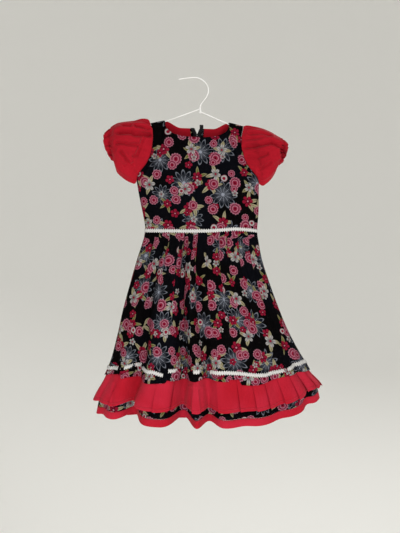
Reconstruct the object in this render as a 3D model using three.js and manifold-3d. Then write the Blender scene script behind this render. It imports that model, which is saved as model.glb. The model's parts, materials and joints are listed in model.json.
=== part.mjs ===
// A girl's huasa dress hung on a wire hanger: black flowered cotton bodice and skirt, red puffed
// sleeves, a red pleated ruffle over a flowered under tier with a red hem, white braid trims and
// a back zip. Millimetres, +Z up, the front of the dress faces -Y. The origin is the inside top of
// the hanger's hook, where a nail or rod carries it.
import * as THREE from 'three';
import { mergeVertices } from 'three/addons/utils/BufferGeometryUtils.js';
import Module from 'manifold-3d';

const wasm = await Module();
wasm.setup();

// Driving sizes
const SEAM = 0.3; // gap that parts two pieces at a seam
const CLOTH = 1.4; // wall of the printed cotton and the red cotton
const THIN = 1.0; // wall of facing, zip tape and braid
const LIE = 0.95; // gap under a piece that lies on a panel

const SHOULDER_Z = -104.5; // top of the shoulders, before the hanger's tilt
const SHOULDER_DROP = 7.5; // how far the shoulder seam falls from neck to sleeve
const NECK_HALF = 77;
const NECK_SHARE = 10 / 12; // share of a half panel that the neckline takes
const FRONT_SCOOP = 39;
const BACK_SCOOP = { deep: 15, run: 0.5 }; // run is the share of the half neck that it slopes over
const SCOOP_POWER = 2.7; // higher makes the front neckline squarer
const NECK_STANDS = { front: 15, back: 13, power: 0.35 }; // how far the neckline stands off the middle plane
const CHEST_POWER = 0.8; // how soon the chest rounds out below the neck
const ARMHOLE_DEPTH = 12;
const UNDERARM_Z = -252;
const WAIST_Z = -366.5;
const SKIRT_Z = -721; // lower edge of the skirt, over the ruffle
const TIER_TOP_Z = -706; // hidden top of the ruffle and the under tier
const RUFFLE_Z = -788;
const BAND_Z = -807; // seam between the under tier and the red hem band
const HEM_Z = -826;
const TILT = 0.032; // the hanger's tilt: the shoulders drop to the right

const ZIP_HALF = 4.5; // half the gap between the back edges, with the closed zip in it
const ZIP_END_Z = -448;
const ZIP_EASE = 14; // length over which the back edges close below the zip
const ZIP_OPEN = 14; // length of the open top of the zip
const ZIP_SPREAD = 6; // how far each back edge has spread at the top
const TAPE = { wide: 9, upLeft: 1, upRight: 9 }; // the tape's ends stand up above the back neckline

// The red facing inside the back neck, in shares of a half panel and of its height
const FACING = { deep: 0.34, top: 0.002, middleTop: 0.12, middleLow: 0.085, end: 0.9 };

const WIRE = 1.2; // radius of the hanger's wire

const table = (columns, rows) =>
  rows.map((row) => Object.fromEntries(columns.map((name, i) => [name, row[i]])));

// The hang of the garment: how far each level has moved to the right, and how much of the
// hanger's tilt it still shows.
const HANG = table(['z', 'lean', 'tilt'], [
  [-60, 2, 1],
  [-170, 3, 1],
  [-252, 4.5, 0.6],
  [-340, 12, 0.25],
  [-385, 11.5, 0],
  [-437, 8, 0],
  [-495, 9, 0],
  [-555, 11.5, 0],
  [-615, 17, 0],
  [-672, 24.5, 0],
  [-700, 27, 0],
  [-860, 30, 0],
]);

// Sections of the body from the underarm to the hem.
const BODY = table(['z', 'half', 'front', 'back', 'riseLeft', 'riseRight'], [
  [-252, 146.5, 26, 21, 0, 0],
  [-300, 142, 28, 22, 0, 0],
  [-332, 138, 28, 22, 0, 0],
  [-358, 134.5, 27, 21, 0, 0],
  [-370, 135, 27, 21, 0, 0],
  [-385, 137, 32, 25, 0, 0],
  [-437, 150, 46, 34, 1, 3],
  [-495, 167, 58, 42, 2, 5],
  [-555, 185.5, 69, 49, 3, 8],
  [-615, 204, 79, 55, 4, 12],
  [-672, 225, 87, 60, 6, 16],
  [-700, 238, 91, 63, 6, 18],
  [-721, 247, 93, 65, 9, 22],
  [-760, 260, 95, 67, 14, 40],
  [-788, 266, 97, 69, 18, 53],
  [-826, 272, 99, 70, 23, 60],
]);

// Half width of the bodice along the armhole, from the shoulder (0) to the underarm (1).
const ARMHOLE = table(['down', 'half'], [
  [0, 111],
  [0.2, 106],
  [0.4, 107],
  [0.55, 112],
  [0.7, 122],
  [0.85, 139],
  [0.93, 144.5],
  [1, 146.5],
]);

// Folds of the skirt and its tiers. A place is a share of the half width, -1 at the left seam and
// 1 at the right. Deep is positive for a fold that goes in.
const FOLD_COLUMNS = ['waist', 'hem', 'wideTop', 'wideHem', 'deepTop', 'deepHem'];
const FRONT_FOLDS = table(FOLD_COLUMNS, [
  [-0.76, -0.8, 0.04, 0.07, 1, 9],
  [-0.46, -0.5, 0.03, 0.075, 2, 46],
  [-0.166, -0.15, 0.03, 0.06, 5, 50],
  [-0.09, -0.072, 0.04, 0.038, 0, -9],
  [-0.02, 0.005, 0.03, 0.045, 2, 32],
  [0.2, 0.2, 0.05, 0.06, 1, 7],
  [0.42, 0.43, 0.04, 0.07, 3, 9],
  [0.66, 0.7, 0.04, 0.06, 2, 12],
]);
const BACK_FOLDS = table(FOLD_COLUMNS, [
  [-0.66, -0.7, 0.04, 0.08, 2, 18],
  [-0.35, -0.4, 0.04, 0.09, 2, 24],
  [0.3, 0.27, 0.04, 0.09, 2, 26],
  [0.62, 0.64, 0.04, 0.08, 2, 20],
]);

const FOLD_LIFT = 0.42; // how far the hem rises where it folds in, as a share of the fold's depth
const FOLD_LIFT_POWER = 3; // higher keeps the rise nearer the hem
const SIDE_CALM = 8; // folds fade towards the side seams, later with a higher power
const STEEPEST = 0.4; // least share of a gap kept on the side of a fold

// Gathers under the waist and pleats of the ruffle
const GATHERS = { count: 12, high: 2.4, fade: 0.1, from: 0.012, ease: 0.04, clear: 0.06 };
const FRONT_PLEATS = [-0.93, -0.78, -0.64, -0.44, -0.31, -0.2, -0.08, 0.06, 0.185, 0.28, 0.365, 0.47,
  0.58, 0.69, 0.8, 0.91];
const BACK_PLEAT_COUNT = 16;
const PLEAT = { highTop: 0.8, highHem: 4.5, edge: 0.0045, sideCalm: 40 };

// How far each layer lies outside the folded form, at its top and at its lower edge.
const RUFFLE_OUT = { seam: -3.7, hem: 7, flare: 0.9 };
const RUFFLE_HIDDEN = 2; // how far below the skirt's edge the ruffle starts to flare
const TIER_OUT = { seam: -7.4, hem: -3.8 };

// Sleeves: each row is a section round the arm. Top and low are its highest and lowest points
// (x is the distance from the middle of the dress), deep is half its depth from front to back.
const SLEEVE_COLUMNS = ['topX', 'topZ', 'lowX', 'lowZ', 'deep', 'bulge', 'ripple'];
const SLEEVE_LEFT = table(SLEEVE_COLUMNS, [
  [119, -105.5, 153, -254, 20, 0, 1.6],
  [133, -104, 160, -252.5, 28, 0, 2],
  [152, -109, 170, -249, 35, 0, 1.4],
  [173, -111.5, 182, -241, 38, 2, 1],
  [191, -116, 193, -230, 34, 3, 1.4],
  [202, -123.5, 198, -214, 26, 4, 2],
  [208, -130, 200, -204, 21, 5, 2.2],
  [222, -143, 208, -200, 26, 6, 3],
]);
const SLEEVE_RIGHT = table(SLEEVE_COLUMNS, [
  [123, -112.5, 156, -253, 20, 0, 1.6],
  [138, -114, 162, -250, 28, 0, 2],
  [156, -117, 170, -244.5, 33, 0, 1.4],
  [175, -124, 179, -235, 35, 2, 1],
  [191, -133, 187, -221, 31, 3, 1.4],
  [201, -139.5, 192, -208, 26, 4, 2],
  [206, -143.5, 195, -203, 21, 5, 2.2],
  [216, -152, 203, -196, 25, 5, 3],
]);
const SLEEVE_GAP = 0.7; // between the sleeve and the curved armhole edge
const SLEEVE_ROUND = 40;
const SLEEVE_RIPPLES = 10;

// The hanger: the wire's route over the hook and down the stem, and its triangle.
const HOOK = table(['x', 'z'], [
  [-41, -3.2],
  [-27, -0.6],
  [-12, 1],
  [0, WIRE],
  [9, -1],
  [18, -6.5],
  [25.5, -14.5],
  [29.3, -25],
  [28.8, -36],
  [24.5, -46.5],
  [17.5, -55.5],
  [12, -63],
  [9.8, -72],
  [9.5, -85],
]);
const STEM = { x: 9.5, top: -66, low: -85, radius: 2.4 };
const ARM_LEFT = { startX: 6.6, startZ: -75.2, endX: -190, slope: 0.366 };
const ARM_RIGHT = { startX: 12.4, startZ: -81.6, endX: 200, slope: -0.447 };
const CORNER = 12; // height of the bent corners
const CORNER_BEND = table(['out', 'down'], [
  [0, 0],
  [4.6, 0.28],
  [6, 0.55],
  [4.6, 0.85],
  [1, 1],
  [0, 1],
]);

// Zip slider and pull tab
const SLIDER = { wide: 6.6, tall: 10, thick: 2.4, z: -141.5, pinShare: 0.3, clear: 0.3 };
const CHEEK = { wide: 1, deep: 4, tall: 3.2, back: 0.6 };
const PULL = {
  long: 24, wide: 5, thick: 1.1, neck: 2.3, neckLow: 4.5, shoulder: 8, eye: 1.5, hole: 0.9, pin: 0.55,
};

const COLOURS = {
  print: [0x17161a, 0.85],
  red: [0xb5202c, 0.85],
  braid: [0xf0eeea, 0.9],
  zip: [0x101012, 0.8],
  metal: [0x2b2b2e, 0.4],
  wire: [0xf2f1ee, 0.45],
};

const lerp = THREE.MathUtils.lerp;
const clamp = THREE.MathUtils.clamp;
const smooth = (t) => THREE.MathUtils.smoothstep(t, 0, 1);

// Reads a column of a table at a value of its first column, along a smooth curve.
function read(rows, at, name) {
  const key = Object.keys(rows[0])[0];
  const way = Math.sign(rows[1][key] - rows[0][key]);
  let i = rows.findIndex((row) => (row[key] - at) * way > 0) - 1;
  if (i === -1) return rows[0][name];
  if (i < 0) return rows[rows.length - 1][name];
  const low = rows[i];
  const high = rows[i + 1];
  const slope = (a, b) => (b[name] - a[name]) / (b[key] - a[key]);
  const step = high[key] - low[key];
  const before = rows[i - 1] ? slope(rows[i - 1], high) : slope(low, high);
  const after = rows[i + 2] ? slope(low, rows[i + 2]) : slope(low, high);
  const t = (at - low[key]) / step;
  const bend = t * (1 - t) * step;
  const line = lerp(low[name], high[name], t * t * (3 - 2 * t));
  return line + bend * ((1 - t) * before - t * after);
}

// The garment hangs tilted and leaning on its hanger.
function hang(p) {
  const lean = read(HANG, p.z, 'lean');
  const tilt = read(HANG, p.z, 'tilt') * TILT;
  return new THREE.Vector3(p.x + lean, p.y, p.z - p.x * tilt);
}

function node(name, geometry, colour) {
  const [color, roughness] = COLOURS[colour];
  const metalness = colour === 'metal' ? 0.8 : 0;
  const mesh = new THREE.Mesh(geometry, new THREE.MeshStandardMaterial({ color, roughness, metalness }));
  mesh.name = name;
  return mesh;
}

function geometryFrom(points, faces) {
  const geometry = new THREE.BufferGeometry().setFromPoints(points);
  geometry.setIndex(faces);
  return geometry;
}

const steps = (from, to, count) => Array.from({ length: count + 1 }, (_, i) => lerp(from, to, i / count));

// Normal of a surface at (u, v), pointing out of the dress.
function normalAt(place, out, u, v, du, dv) {
  const across = place(u + du, v).sub(place(u - du, v));
  const down = place(u, v + dv).sub(place(u, v - dv));
  return across.cross(down).multiplyScalar(out).normalize();
}

// A cloth wall. place(u, v) is its outer face over the columns and rows given; the inner face
// lies one thickness inside. out is 1 or -1, so that columns x rows x out points outwards.
// edge(normal, u, v) may turn a normal at a seam, so that two walls meet squarely.
function wall({ columns, rows, place, out, thick = CLOTH, round = false, edge = (n) => n }) {
  const outer = columns.map((u) => rows.map((v) => place(u, v)));
  const wide = columns.length;
  const tall = rows.length;
  const column = (i) => (round ? (i + wide) % wide : clamp(i, 0, wide - 1));
  const row = (j) => clamp(j, 0, tall - 1);
  const inner = outer.map((line, i) => line.map((p, j) => {
    const across = outer[column(i + 1)][j].clone().sub(outer[column(i - 1)][j]);
    const down = line[row(j + 1)].clone().sub(line[row(j - 1)]);
    const normal = across.cross(down).multiplyScalar(out).normalize();
    return p.clone().addScaledVector(edge(normal, columns[i], rows[j]).normalize(), -thick);
  }));
  const points = [...outer.flat(), ...inner.flat()];
  const at = (i, j, side) => column(i) * tall + j + side * wide * tall;
  const faces = [];
  const quad = (a, b, c, d) => {
    if (out > 0) faces.push(a, b, c, a, c, d);
    else faces.push(a, c, b, a, d, c);
  };
  const last = round ? wide : wide - 1;
  for (let i = 0; i < last; i += 1) {
    for (let j = 0; j < tall - 1; j += 1) {
      quad(at(i, j, 0), at(i + 1, j, 0), at(i + 1, j + 1, 0), at(i, j + 1, 0));
      quad(at(i, j, 1), at(i, j + 1, 1), at(i + 1, j + 1, 1), at(i + 1, j, 1));
    }
    quad(at(i + 1, 0, 0), at(i, 0, 0), at(i, 0, 1), at(i + 1, 0, 1));
    quad(at(i, tall - 1, 0), at(i + 1, tall - 1, 0), at(i + 1, tall - 1, 1), at(i, tall - 1, 1));
  }
  if (!round) {
    for (let j = 0; j < tall - 1; j += 1) {
      quad(at(0, j, 0), at(0, j + 1, 0), at(0, j + 1, 1), at(0, j, 1));
      quad(at(last, j + 1, 0), at(last, j, 0), at(last, j, 1), at(last, j + 1, 1));
    }
  }
  return geometryFrom(points, faces);
}

// Folds of a skirt panel: how far the cloth goes in at a place and level.
function foldDepth(side, s, z) {
  const fall = clamp((WAIST_Z - z) / (WAIST_Z - HEM_Z), 0, 1);
  const calm = 1 - s ** SIDE_CALM;
  const deep = (side < 0 ? FRONT_FOLDS : BACK_FOLDS).reduce((sum, fold) => {
    const away = (s - lerp(fold.waist, fold.hem, fall)) / lerp(fold.wideTop, fold.wideHem, fall);
    return sum + lerp(fold.deepTop, fold.deepHem, fall) * Math.exp(-away * away);
  }, 0);
  const start = smooth((fall - GATHERS.from) / GATHERS.ease);
  const clear = side > 0 ? smooth((Math.abs(s) - GATHERS.clear) / GATHERS.clear) : 1;
  const gather = GATHERS.high * Math.exp(-fall / GATHERS.fade) * Math.sin(s * GATHERS.count * Math.PI);
  return calm * start * (deep + clear * gather);
}

// A point of the body below the underarm, out millimetres outside its folded form.
function bodySpot(side, s, z, out = 0, middleGap = 0) {
  const turn = (s * Math.PI) / 2;
  const half = read(BODY, z, 'half');
  const deep = read(BODY, z, side < 0 ? 'front' : 'back');
  const sine = Math.sin(turn);
  const cosine = Math.cos(turn);
  const rise = read(BODY, z, s < 0 ? 'riseLeft' : 'riseRight') * Math.abs(sine) ** 3;
  const normal = new THREE.Vector2(deep * sine, side * half * cosine).normalize();
  const fold = foldDepth(side, s, z);
  const move = out - fold;
  const lift = FOLD_LIFT * fold * clamp((WAIST_Z - z) / (WAIST_Z - HEM_Z), 0, 1) ** FOLD_LIFT_POWER;
  const x = Math.sign(s) * middleGap + (half - middleGap) * sine;
  const y = side * (SEAM / 2 + deep * Math.max(cosine, 0));
  return new THREE.Vector3(x + normal.x * move, y + normal.y * move, z + rise + lift);
}

// The share of an outward move that parts two walls, less on the steep sides of a fold.
function steepness(side, s, z) {
  const step = 0.006;
  const turn = (s * Math.PI) / 2;
  const run = bodySpot(side, Math.min(s + step, 1), z).sub(bodySpot(side, Math.max(s - step, -1), z));
  const half = read(BODY, z, 'half');
  const deep = read(BODY, z, side < 0 ? 'front' : 'back');
  const normal = new THREE.Vector2(deep * Math.sin(turn), side * half * Math.cos(turn)).normalize();
  const across = new THREE.Vector2(run.y, -run.x).normalize();
  return clamp(Math.abs(across.dot(normal)), STEEPEST, 1);
}

const layerSpot = (side, s, z, gap) => bodySpot(side, s, z, gap / steepness(side, s, z));

// Bodice above the underarm: s runs across, down runs from the top edge (0) to the underarm (1).
function topWidth(s) {
  const size = Math.abs(s);
  if (size <= NECK_SHARE) return Math.sign(s) * NECK_HALF * Math.sin((size / NECK_SHARE) * (Math.PI / 2));
  return Math.sign(s) * lerp(NECK_HALF, ARMHOLE[0].half, (size - NECK_SHARE) / (1 - NECK_SHARE));
}

function topEdge(side, x) {
  const size = Math.abs(x);
  if (size >= NECK_HALF) {
    return SHOULDER_Z - SHOULDER_DROP * ((size - NECK_HALF) / (ARMHOLE[0].half - NECK_HALF));
  }
  const share = size / NECK_HALF;
  if (side < 0) return SHOULDER_Z - FRONT_SCOOP * (1 - share ** SCOOP_POWER) ** (1 / SCOOP_POWER);
  return SHOULDER_Z - BACK_SCOOP.deep * smooth((1 - share) / BACK_SCOOP.run);
}

function yokeSpot(side, s, down, out = 0, middleGap = 0) {
  const size = Math.abs(s);
  const half = read(ARMHOLE, down, 'half');
  const wideTop = topWidth(s) / ARMHOLE[0].half;
  const share = lerp(wideTop, Math.sin((s * Math.PI) / 2), down);
  const x = Math.sign(s) * middleGap + (half - middleGap) * share;
  const z = lerp(topEdge(side, topWidth(s)), UNDERARM_Z, down);
  const cosine = Math.cos((s * Math.PI) / 2);
  const neck = size < NECK_SHARE ? (1 - (size / NECK_SHARE) ** 2) ** NECK_STANDS.power : 0;
  const chest = read(BODY, UNDERARM_Z, side < 0 ? 'front' : 'back');
  const neckDepth = side < 0 ? NECK_STANDS.front : NECK_STANDS.back;
  const edgeDepth = 2 * ARMHOLE_DEPTH * Math.sqrt(down * (1 - down)) * (1 - cosine * cosine);
  const deep = edgeDepth + chest * cosine * down ** CHEST_POWER + neckDepth * neck * (1 - down);
  return new THREE.Vector3(x, side * (SEAM / 2 + deep + out), z);
}

// A bodice panel reads down from 0 at the top edge over 1 at the underarm to 2 at the waist.
const BODICE_DOWN = [0, 0.012, 0.04, 0.1, 0.2, 0.35, 0.5, 0.65, 0.8, 0.92, 1, 1.25, 1.5, 1.75, 2];

function bodiceSpot(side, s, down, middleGap = 0) {
  if (down <= 1) return yokeSpot(side, s, down, 0, middleGap);
  return bodySpot(side, s, lerp(UNDERARM_Z, WAIST_Z + SEAM / 2, down - 1), 0, middleGap);
}

function bodiceEdge(normal, s, down) {
  const atSide = Math.abs(s) === 1;
  if (atSide && down >= 1) normal.y = 0;
  else if (down === 0 && Math.abs(s) >= NECK_SHARE - 1e-6) normal.set(0, 0, 1);
  else if (atSide) normal.x = 0;
  return normal;
}

const backGap = (z) => {
  const top = topEdge(1, 0);
  const open = ZIP_SPREAD * clamp(1 - (top - z) / ZIP_OPEN, 0, 1);
  return lerp(SEAM / 2, ZIP_HALF, smooth((z - ZIP_END_Z + ZIP_EASE) / ZIP_EASE)) + open;
};

function backSpot(s, down) {
  const z = down <= 1 ? lerp(topEdge(1, topWidth(s)), UNDERARM_Z, down) : UNDERARM_Z;
  return bodiceSpot(1, s, down, backGap(z));
}

// Columns of a half panel: one more lies just inside the neck point, where the edge turns down.
const HALF_COLUMNS = [...steps(0, NECK_SHARE, 10), NECK_SHARE - 0.006, 11 / 12, 1].sort((a, b) => a - b);

function bodiceFront() {
  const place = (s, down) => hang(bodiceSpot(-1, s, down));
  const columns = [...HALF_COLUMNS.slice(1).map((s) => -s).reverse(), ...HALF_COLUMNS];
  return wall({ columns, rows: BODICE_DOWN, place, out: -1, edge: bodiceEdge });
}

function bodiceBack(way) {
  const place = (s, down) => hang(backSpot(way * Math.max(s, 1e-6), down));
  const edge = (normal, s, down) => {
    if (s === 0) normal.x = 0;
    return bodiceEdge(normal, s, down);
  };
  return wall({ columns: HALF_COLUMNS, rows: BODICE_DOWN, place, out: way, edge });
}

// The red facing inside the back neck, one half.
function neckFacing(way) {
  const lift = CLOTH + 2 * LIE;
  const place = (share, down) => {
    const middle = lerp(FACING.middleTop, FACING.middleLow, down);
    const s = way * lerp(middle, NECK_SHARE * FACING.end, share);
    return hang(yokeSpot(1, s, Math.max(down * FACING.deep, FACING.top), -lift));
  };
  return wall({ columns: steps(0, 1, 9), rows: steps(0, 1, 3), place, out: way, thick: THIN });
}

// Middle of the back on its outer face, at a level.
function backMiddle(z) {
  const top = topEdge(1, 0);
  if (z > UNDERARM_Z) return yokeSpot(1, 0.001, clamp((top - z) / (top - UNDERARM_Z), 0, 1));
  return bodySpot(1, 0.001, z);
}

// Zip tape of one side, on the inside of the back edges, open in a V at its top.
function zipTape(way) {
  const top = topEdge(1, 0) + (way > 0 ? TAPE.upRight : TAPE.upLeft);
  const rows = [0, 0.03, 0.055, 0.1, 0.2, 0.3, 0.4, 0.55, 0.7, 0.74, 0.78, 0.86, 1];
  const place = (share, down) => {
    const z = lerp(top, ZIP_END_Z, down);
    const middle = Math.max(backGap(z) - ZIP_HALF, 0) + SEAM;
    const x = way * lerp(middle, middle + TAPE.wide, share);
    return hang(new THREE.Vector3(x, backMiddle(z).y - CLOTH - LIE, z));
  };
  return wall({ columns: [0, 1], rows, place, out: way, thick: THIN });
}

// Sleeve: a puffed tube from the armhole to the elastic and its narrow frill.
function sleeve(way, sections) {
  const angles = steps(0, 2 * Math.PI, SLEEVE_ROUND).slice(0, -1);
  const place = (angle, section) => {
    const cosine = Math.cos(angle);
    const sine = Math.sin(angle);
    if (section < 0) {
      const down = (1 - cosine) / 2;
      const x = read(ARMHOLE, down, 'half') + SLEEVE_GAP;
      const z = lerp(topEdge(-1, ARMHOLE[0].half), UNDERARM_Z, down);
      return hang(new THREE.Vector3(way * x, -Math.sign(sine) * SEAM / 2 - ARMHOLE_DEPTH * sine, z));
    }
    const row = sections[section];
    const wave = row.ripple * Math.cos(angle * SLEEVE_RIPPLES);
    const middleX = (row.topX + row.lowX) / 2;
    const middleZ = (row.topZ + row.lowZ) / 2;
    const reachX = (row.topX - row.lowX) / 2;
    const reachZ = (row.topZ - row.lowZ) / 2;
    const grow = 1 + wave / reachZ;
    const x = middleX + reachX * cosine * grow + row.bulge * sine * sine;
    const y = -(row.deep + wave) * sine;
    return hang(new THREE.Vector3(way * x, y, middleZ + reachZ * cosine * grow));
  };
  const rows = [-1, ...sections.keys()];
  const edge = (normal, angle, section) => {
    if (section < 0) normal.x = 0;
    return normal;
  };
  return wall({ columns: angles, rows, place, out: -way, round: true, edge });
}

const squareSide = (normal, s) => {
  if (Math.abs(s) === 1) normal.y = 0;
  return normal;
};

// Columns of a tier: finer where the folds are deep.
const FRONT_COLUMNS = [...steps(-1, -0.64, 6), ...steps(-0.6, 0.09, 24), ...steps(0.14, 1, 15)];
const BACK_COLUMNS = steps(-1, 1, 32);
const SKIRT_LEVELS = [
  WAIST_Z - SEAM / 2, -379, -395, -420, ZIP_END_Z, -464, -520, -600, -660, -695, -705, SKIRT_Z,
];

function skirtFront() {
  const place = (s, z) => hang(bodySpot(-1, s, z));
  return wall({ columns: FRONT_COLUMNS, rows: SKIRT_LEVELS, place, out: -1, edge: squareSide });
}

function skirtBack(way) {
  const place = (s, z) => hang(bodySpot(1, way * Math.max(s, 1e-6), z, 0, backGap(z)));
  const edge = (normal, s, down) => {
    if (s === 0) normal.x = 0;
    return squareSide(normal, s, down);
  };
  return wall({ columns: steps(0, 1, 16), rows: SKIRT_LEVELS, place, out: way, edge });
}

// Braid that lies on the dress between two levels.
function braid(side, columns, high, low, middleGap = 0) {
  const lift = LIE + THIN;
  const place = (s, z) => {
    const spot = (a, b) => bodySpot(side, a, b, 0, middleGap);
    const normal = Math.abs(s) === 1
      ? new THREE.Vector3(Math.sign(s), 0, 0)
      : normalAt(spot, side, s, z, 0.004, -1);
    return hang(spot(s, z).addScaledVector(normal, lift));
  };
  return wall({ columns, rows: [high, low], place, out: side, thick: THIN, edge: squareSide });
}

// Height of the ruffle's knife pleats: full at each fold edge, falling to the next one.
function pleatHeight(edges, s, down) {
  const next = edges.findIndex((edge) => edge > s);
  const from = next > 0 ? edges[next - 1] : next === 0 ? -1 : edges[edges.length - 1];
  const to = next >= 0 ? edges[next] : 1;
  const share = clamp((s - from) / (to - from), 0, 1);
  const seam = 1 - Math.abs(s) ** PLEAT.sideCalm;
  return lerp(PLEAT.highTop, PLEAT.highHem, down) * (1 - share) * seam;
}

function ruffle(side, edges, between) {
  const sharp = edges.flatMap((edge) => [edge - PLEAT.edge, edge + PLEAT.edge]);
  const clear = (s) => sharp.every((edge) => Math.abs(edge - s) > 2 * PLEAT.edge);
  const columns = [...sharp, ...between.filter(clear)].sort((a, b) => a - b);
  const seamShare = (TIER_TOP_Z - SKIRT_Z + RUFFLE_HIDDEN) / (TIER_TOP_Z - RUFFLE_Z);
  const place = (s, down) => {
    const z = lerp(TIER_TOP_Z, RUFFLE_Z, down);
    const fall = clamp((down - seamShare) / (1 - seamShare), 0, 1);
    const flare = lerp(RUFFLE_OUT.seam, RUFFLE_OUT.hem, smooth(fall * RUFFLE_OUT.flare));
    const out = flare + pleatHeight(edges, s, fall);
    return hang(layerSpot(side, s, z, out));
  };
  return wall({ columns, rows: [0, seamShare, 0.6, 1], place, out: side, edge: squareSide });
}

function underTier(side, columns, high, low, rows) {
  const place = (s, down) => {
    const z = lerp(high, low, down);
    const fall = clamp((SKIRT_Z - z) / (SKIRT_Z - HEM_Z), 0, 1);
    return hang(layerSpot(side, s, z, lerp(TIER_OUT.seam, TIER_OUT.hem, fall)));
  };
  return wall({ columns, rows, place, out: side, edge: squareSide });
}

// A wire bent in the XZ plane through the points given, with flat ends.
function wire(points, radius, sides = 8) {
  const rings = points.map((p, i) => {
    const before = points[Math.max(i - 1, 0)];
    const after = points[Math.min(i + 1, points.length - 1)];
    const along = after.clone().sub(before).normalize();
    const up = new THREE.Vector3(-along.z, 0, along.x);
    return steps(0, 2 * Math.PI, sides).slice(0, -1).map((angle) => p.clone()
      .addScaledVector(up, radius * Math.cos(angle))
      .add(new THREE.Vector3(0, -radius * Math.sin(angle), 0)));
  });
  const faces = [];
  const at = (i, k) => i * sides + (k % sides);
  for (let i = 0; i < rings.length - 1; i += 1) {
    for (let k = 0; k < sides; k += 1) {
      faces.push(at(i, k), at(i, k + 1), at(i + 1, k + 1), at(i, k), at(i + 1, k + 1), at(i + 1, k));
    }
  }
  for (let k = 1; k < sides - 1; k += 1) {
    faces.push(at(0, 0), at(0, k + 1), at(0, k));
    faces.push(at(rings.length - 1, 0), at(rings.length - 1, k), at(rings.length - 1, k + 1));
  }
  return geometryFrom(rings.flat(), faces);
}

function solid(geometry) {
  const plain = geometry.clone();
  plain.deleteAttribute('normal');
  plain.deleteAttribute('uv');
  const merged = mergeVertices(plain, 1e-4);
  return new wasm.Manifold(new wasm.Mesh({
    numProp: 3,
    vertProperties: new Float32Array(merged.attributes.position.array),
    triVerts: new Uint32Array(merged.index.array),
  }));
}

function fromSolid(manifold) {
  const mesh = manifold.getMesh();
  const geometry = new THREE.BufferGeometry();
  geometry.setAttribute('position', new THREE.BufferAttribute(new Float32Array(mesh.vertProperties), 3));
  geometry.setIndex(new THREE.BufferAttribute(new Uint32Array(mesh.triVerts), 1));
  return geometry;
}

const join = (...pieces) => fromSolid(pieces.map(solid).reduce((sum, piece) => sum.add(piece)));

function rod(radius, length, sides = 16) {
  return new THREE.CylinderGeometry(radius, radius, length, sides);
}

function hangerHook() {
  const route = new THREE.CatmullRomCurve3(HOOK.map((row) => new THREE.Vector3(row.x, 0, row.z)));
  const tall = STEM.top - STEM.low;
  const stem = rod(STEM.radius, tall, 10).rotateX(Math.PI / 2)
    .translate(STEM.x, 0, (STEM.top + STEM.low) / 2 - 0.2);
  return join(wire(route.getPoints(26), WIRE), stem);
}

// One arm of the hanger's triangle, from the stem to the bent corner, where the bar goes on.
function armPoints(arm) {
  const way = Math.sign(arm.endX);
  const endZ = arm.startZ - Math.abs(arm.endX - arm.startX) * Math.abs(arm.slope);
  const point = (x, z) => new THREE.Vector3(x, 0, z);
  return [
    point(arm.startX, arm.startZ),
    point((arm.startX + arm.endX) / 2, (arm.startZ + endZ) / 2),
    ...CORNER_BEND.map((bend) => point(arm.endX + way * bend.out, endZ - CORNER * bend.down)),
  ];
}

function hangerArm(arm) {
  const points = armPoints(arm);
  return wire(arm.endX < 0 ? points.reverse() : points, WIRE);
}

function hangerBar() {
  const left = armPoints(ARM_LEFT).at(-1);
  const right = armPoints(ARM_RIGHT).at(-1);
  left.x += SEAM;
  right.x -= SEAM;
  return wire([left, left.clone().lerp(right, 0.5), right], WIRE);
}

// The slider rides on the closed teeth; two cheeks hold the pin of the pull tab.
const pullAxis = () => {
  const pinZ = SLIDER.z + SLIDER.tall * SLIDER.pinShare;
  const spot = hang(new THREE.Vector3(0, backMiddle(SLIDER.z).y, pinZ));
  spot.y += SLIDER.thick - CLOTH + PULL.eye + SLIDER.clear;
  return spot;
};

function zipSlider() {
  const axis = pullAxis();
  const baseY = axis.y - PULL.eye - SLIDER.clear - SLIDER.thick / 2;
  const base = new THREE.BoxGeometry(SLIDER.wide, SLIDER.thick, SLIDER.tall)
    .translate(axis.x, baseY, axis.z - SLIDER.tall * SLIDER.pinShare);
  const cheekX = PULL.neck / 2 + SLIDER.clear + CHEEK.wide / 2;
  const cheek = (way) => new THREE.BoxGeometry(CHEEK.wide, CHEEK.deep, CHEEK.tall)
    .translate(axis.x + way * cheekX, axis.y - CHEEK.back, axis.z);
  const pinLong = PULL.neck + 2 * SLIDER.clear + CHEEK.wide;
  const pin = rod(PULL.pin, pinLong, 12).rotateZ(Math.PI / 2).translate(axis.x, axis.y, axis.z);
  return join(base, cheek(-1), cheek(1), pin);
}

function zipPull() {
  const axis = pullAxis();
  const eye = new THREE.Shape().absarc(0, 0, PULL.eye, 0, 2 * Math.PI);
  eye.holes.push(new THREE.Path().absarc(0, 0, PULL.hole, 0, 2 * Math.PI, true));
  const barrel = new THREE.ExtrudeGeometry(eye, { depth: PULL.neck, bevelEnabled: false, curveSegments: 8 })
    .translate(0, 0, -PULL.neck / 2).rotateY(Math.PI / 2);
  const half = PULL.wide / 2;
  const plate = new THREE.Shape();
  const neckTop = -PULL.hole - SLIDER.clear;
  plate.moveTo(-PULL.neck / 2, neckTop);
  plate.lineTo(-PULL.neck / 2, -PULL.neckLow);
  plate.lineTo(-half, -PULL.shoulder);
  plate.lineTo(-half, half - PULL.long);
  plate.absarc(0, half - PULL.long, half, Math.PI, 2 * Math.PI);
  plate.lineTo(half, -PULL.shoulder);
  plate.lineTo(PULL.neck / 2, -PULL.neckLow);
  plate.lineTo(PULL.neck / 2, neckTop);
  plate.holes.push(new THREE.Path().absarc(0, half - PULL.long, half * 0.5, 0, 2 * Math.PI, true));
  const tab = new THREE.ExtrudeGeometry(plate, { depth: PULL.thick, bevelEnabled: false, curveSegments: 8 })
    .translate(0, 0, -PULL.thick / 2).rotateX(Math.PI / 2);
  return join(barrel, tab).translate(axis.x, axis.y, axis.z);
}

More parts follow.
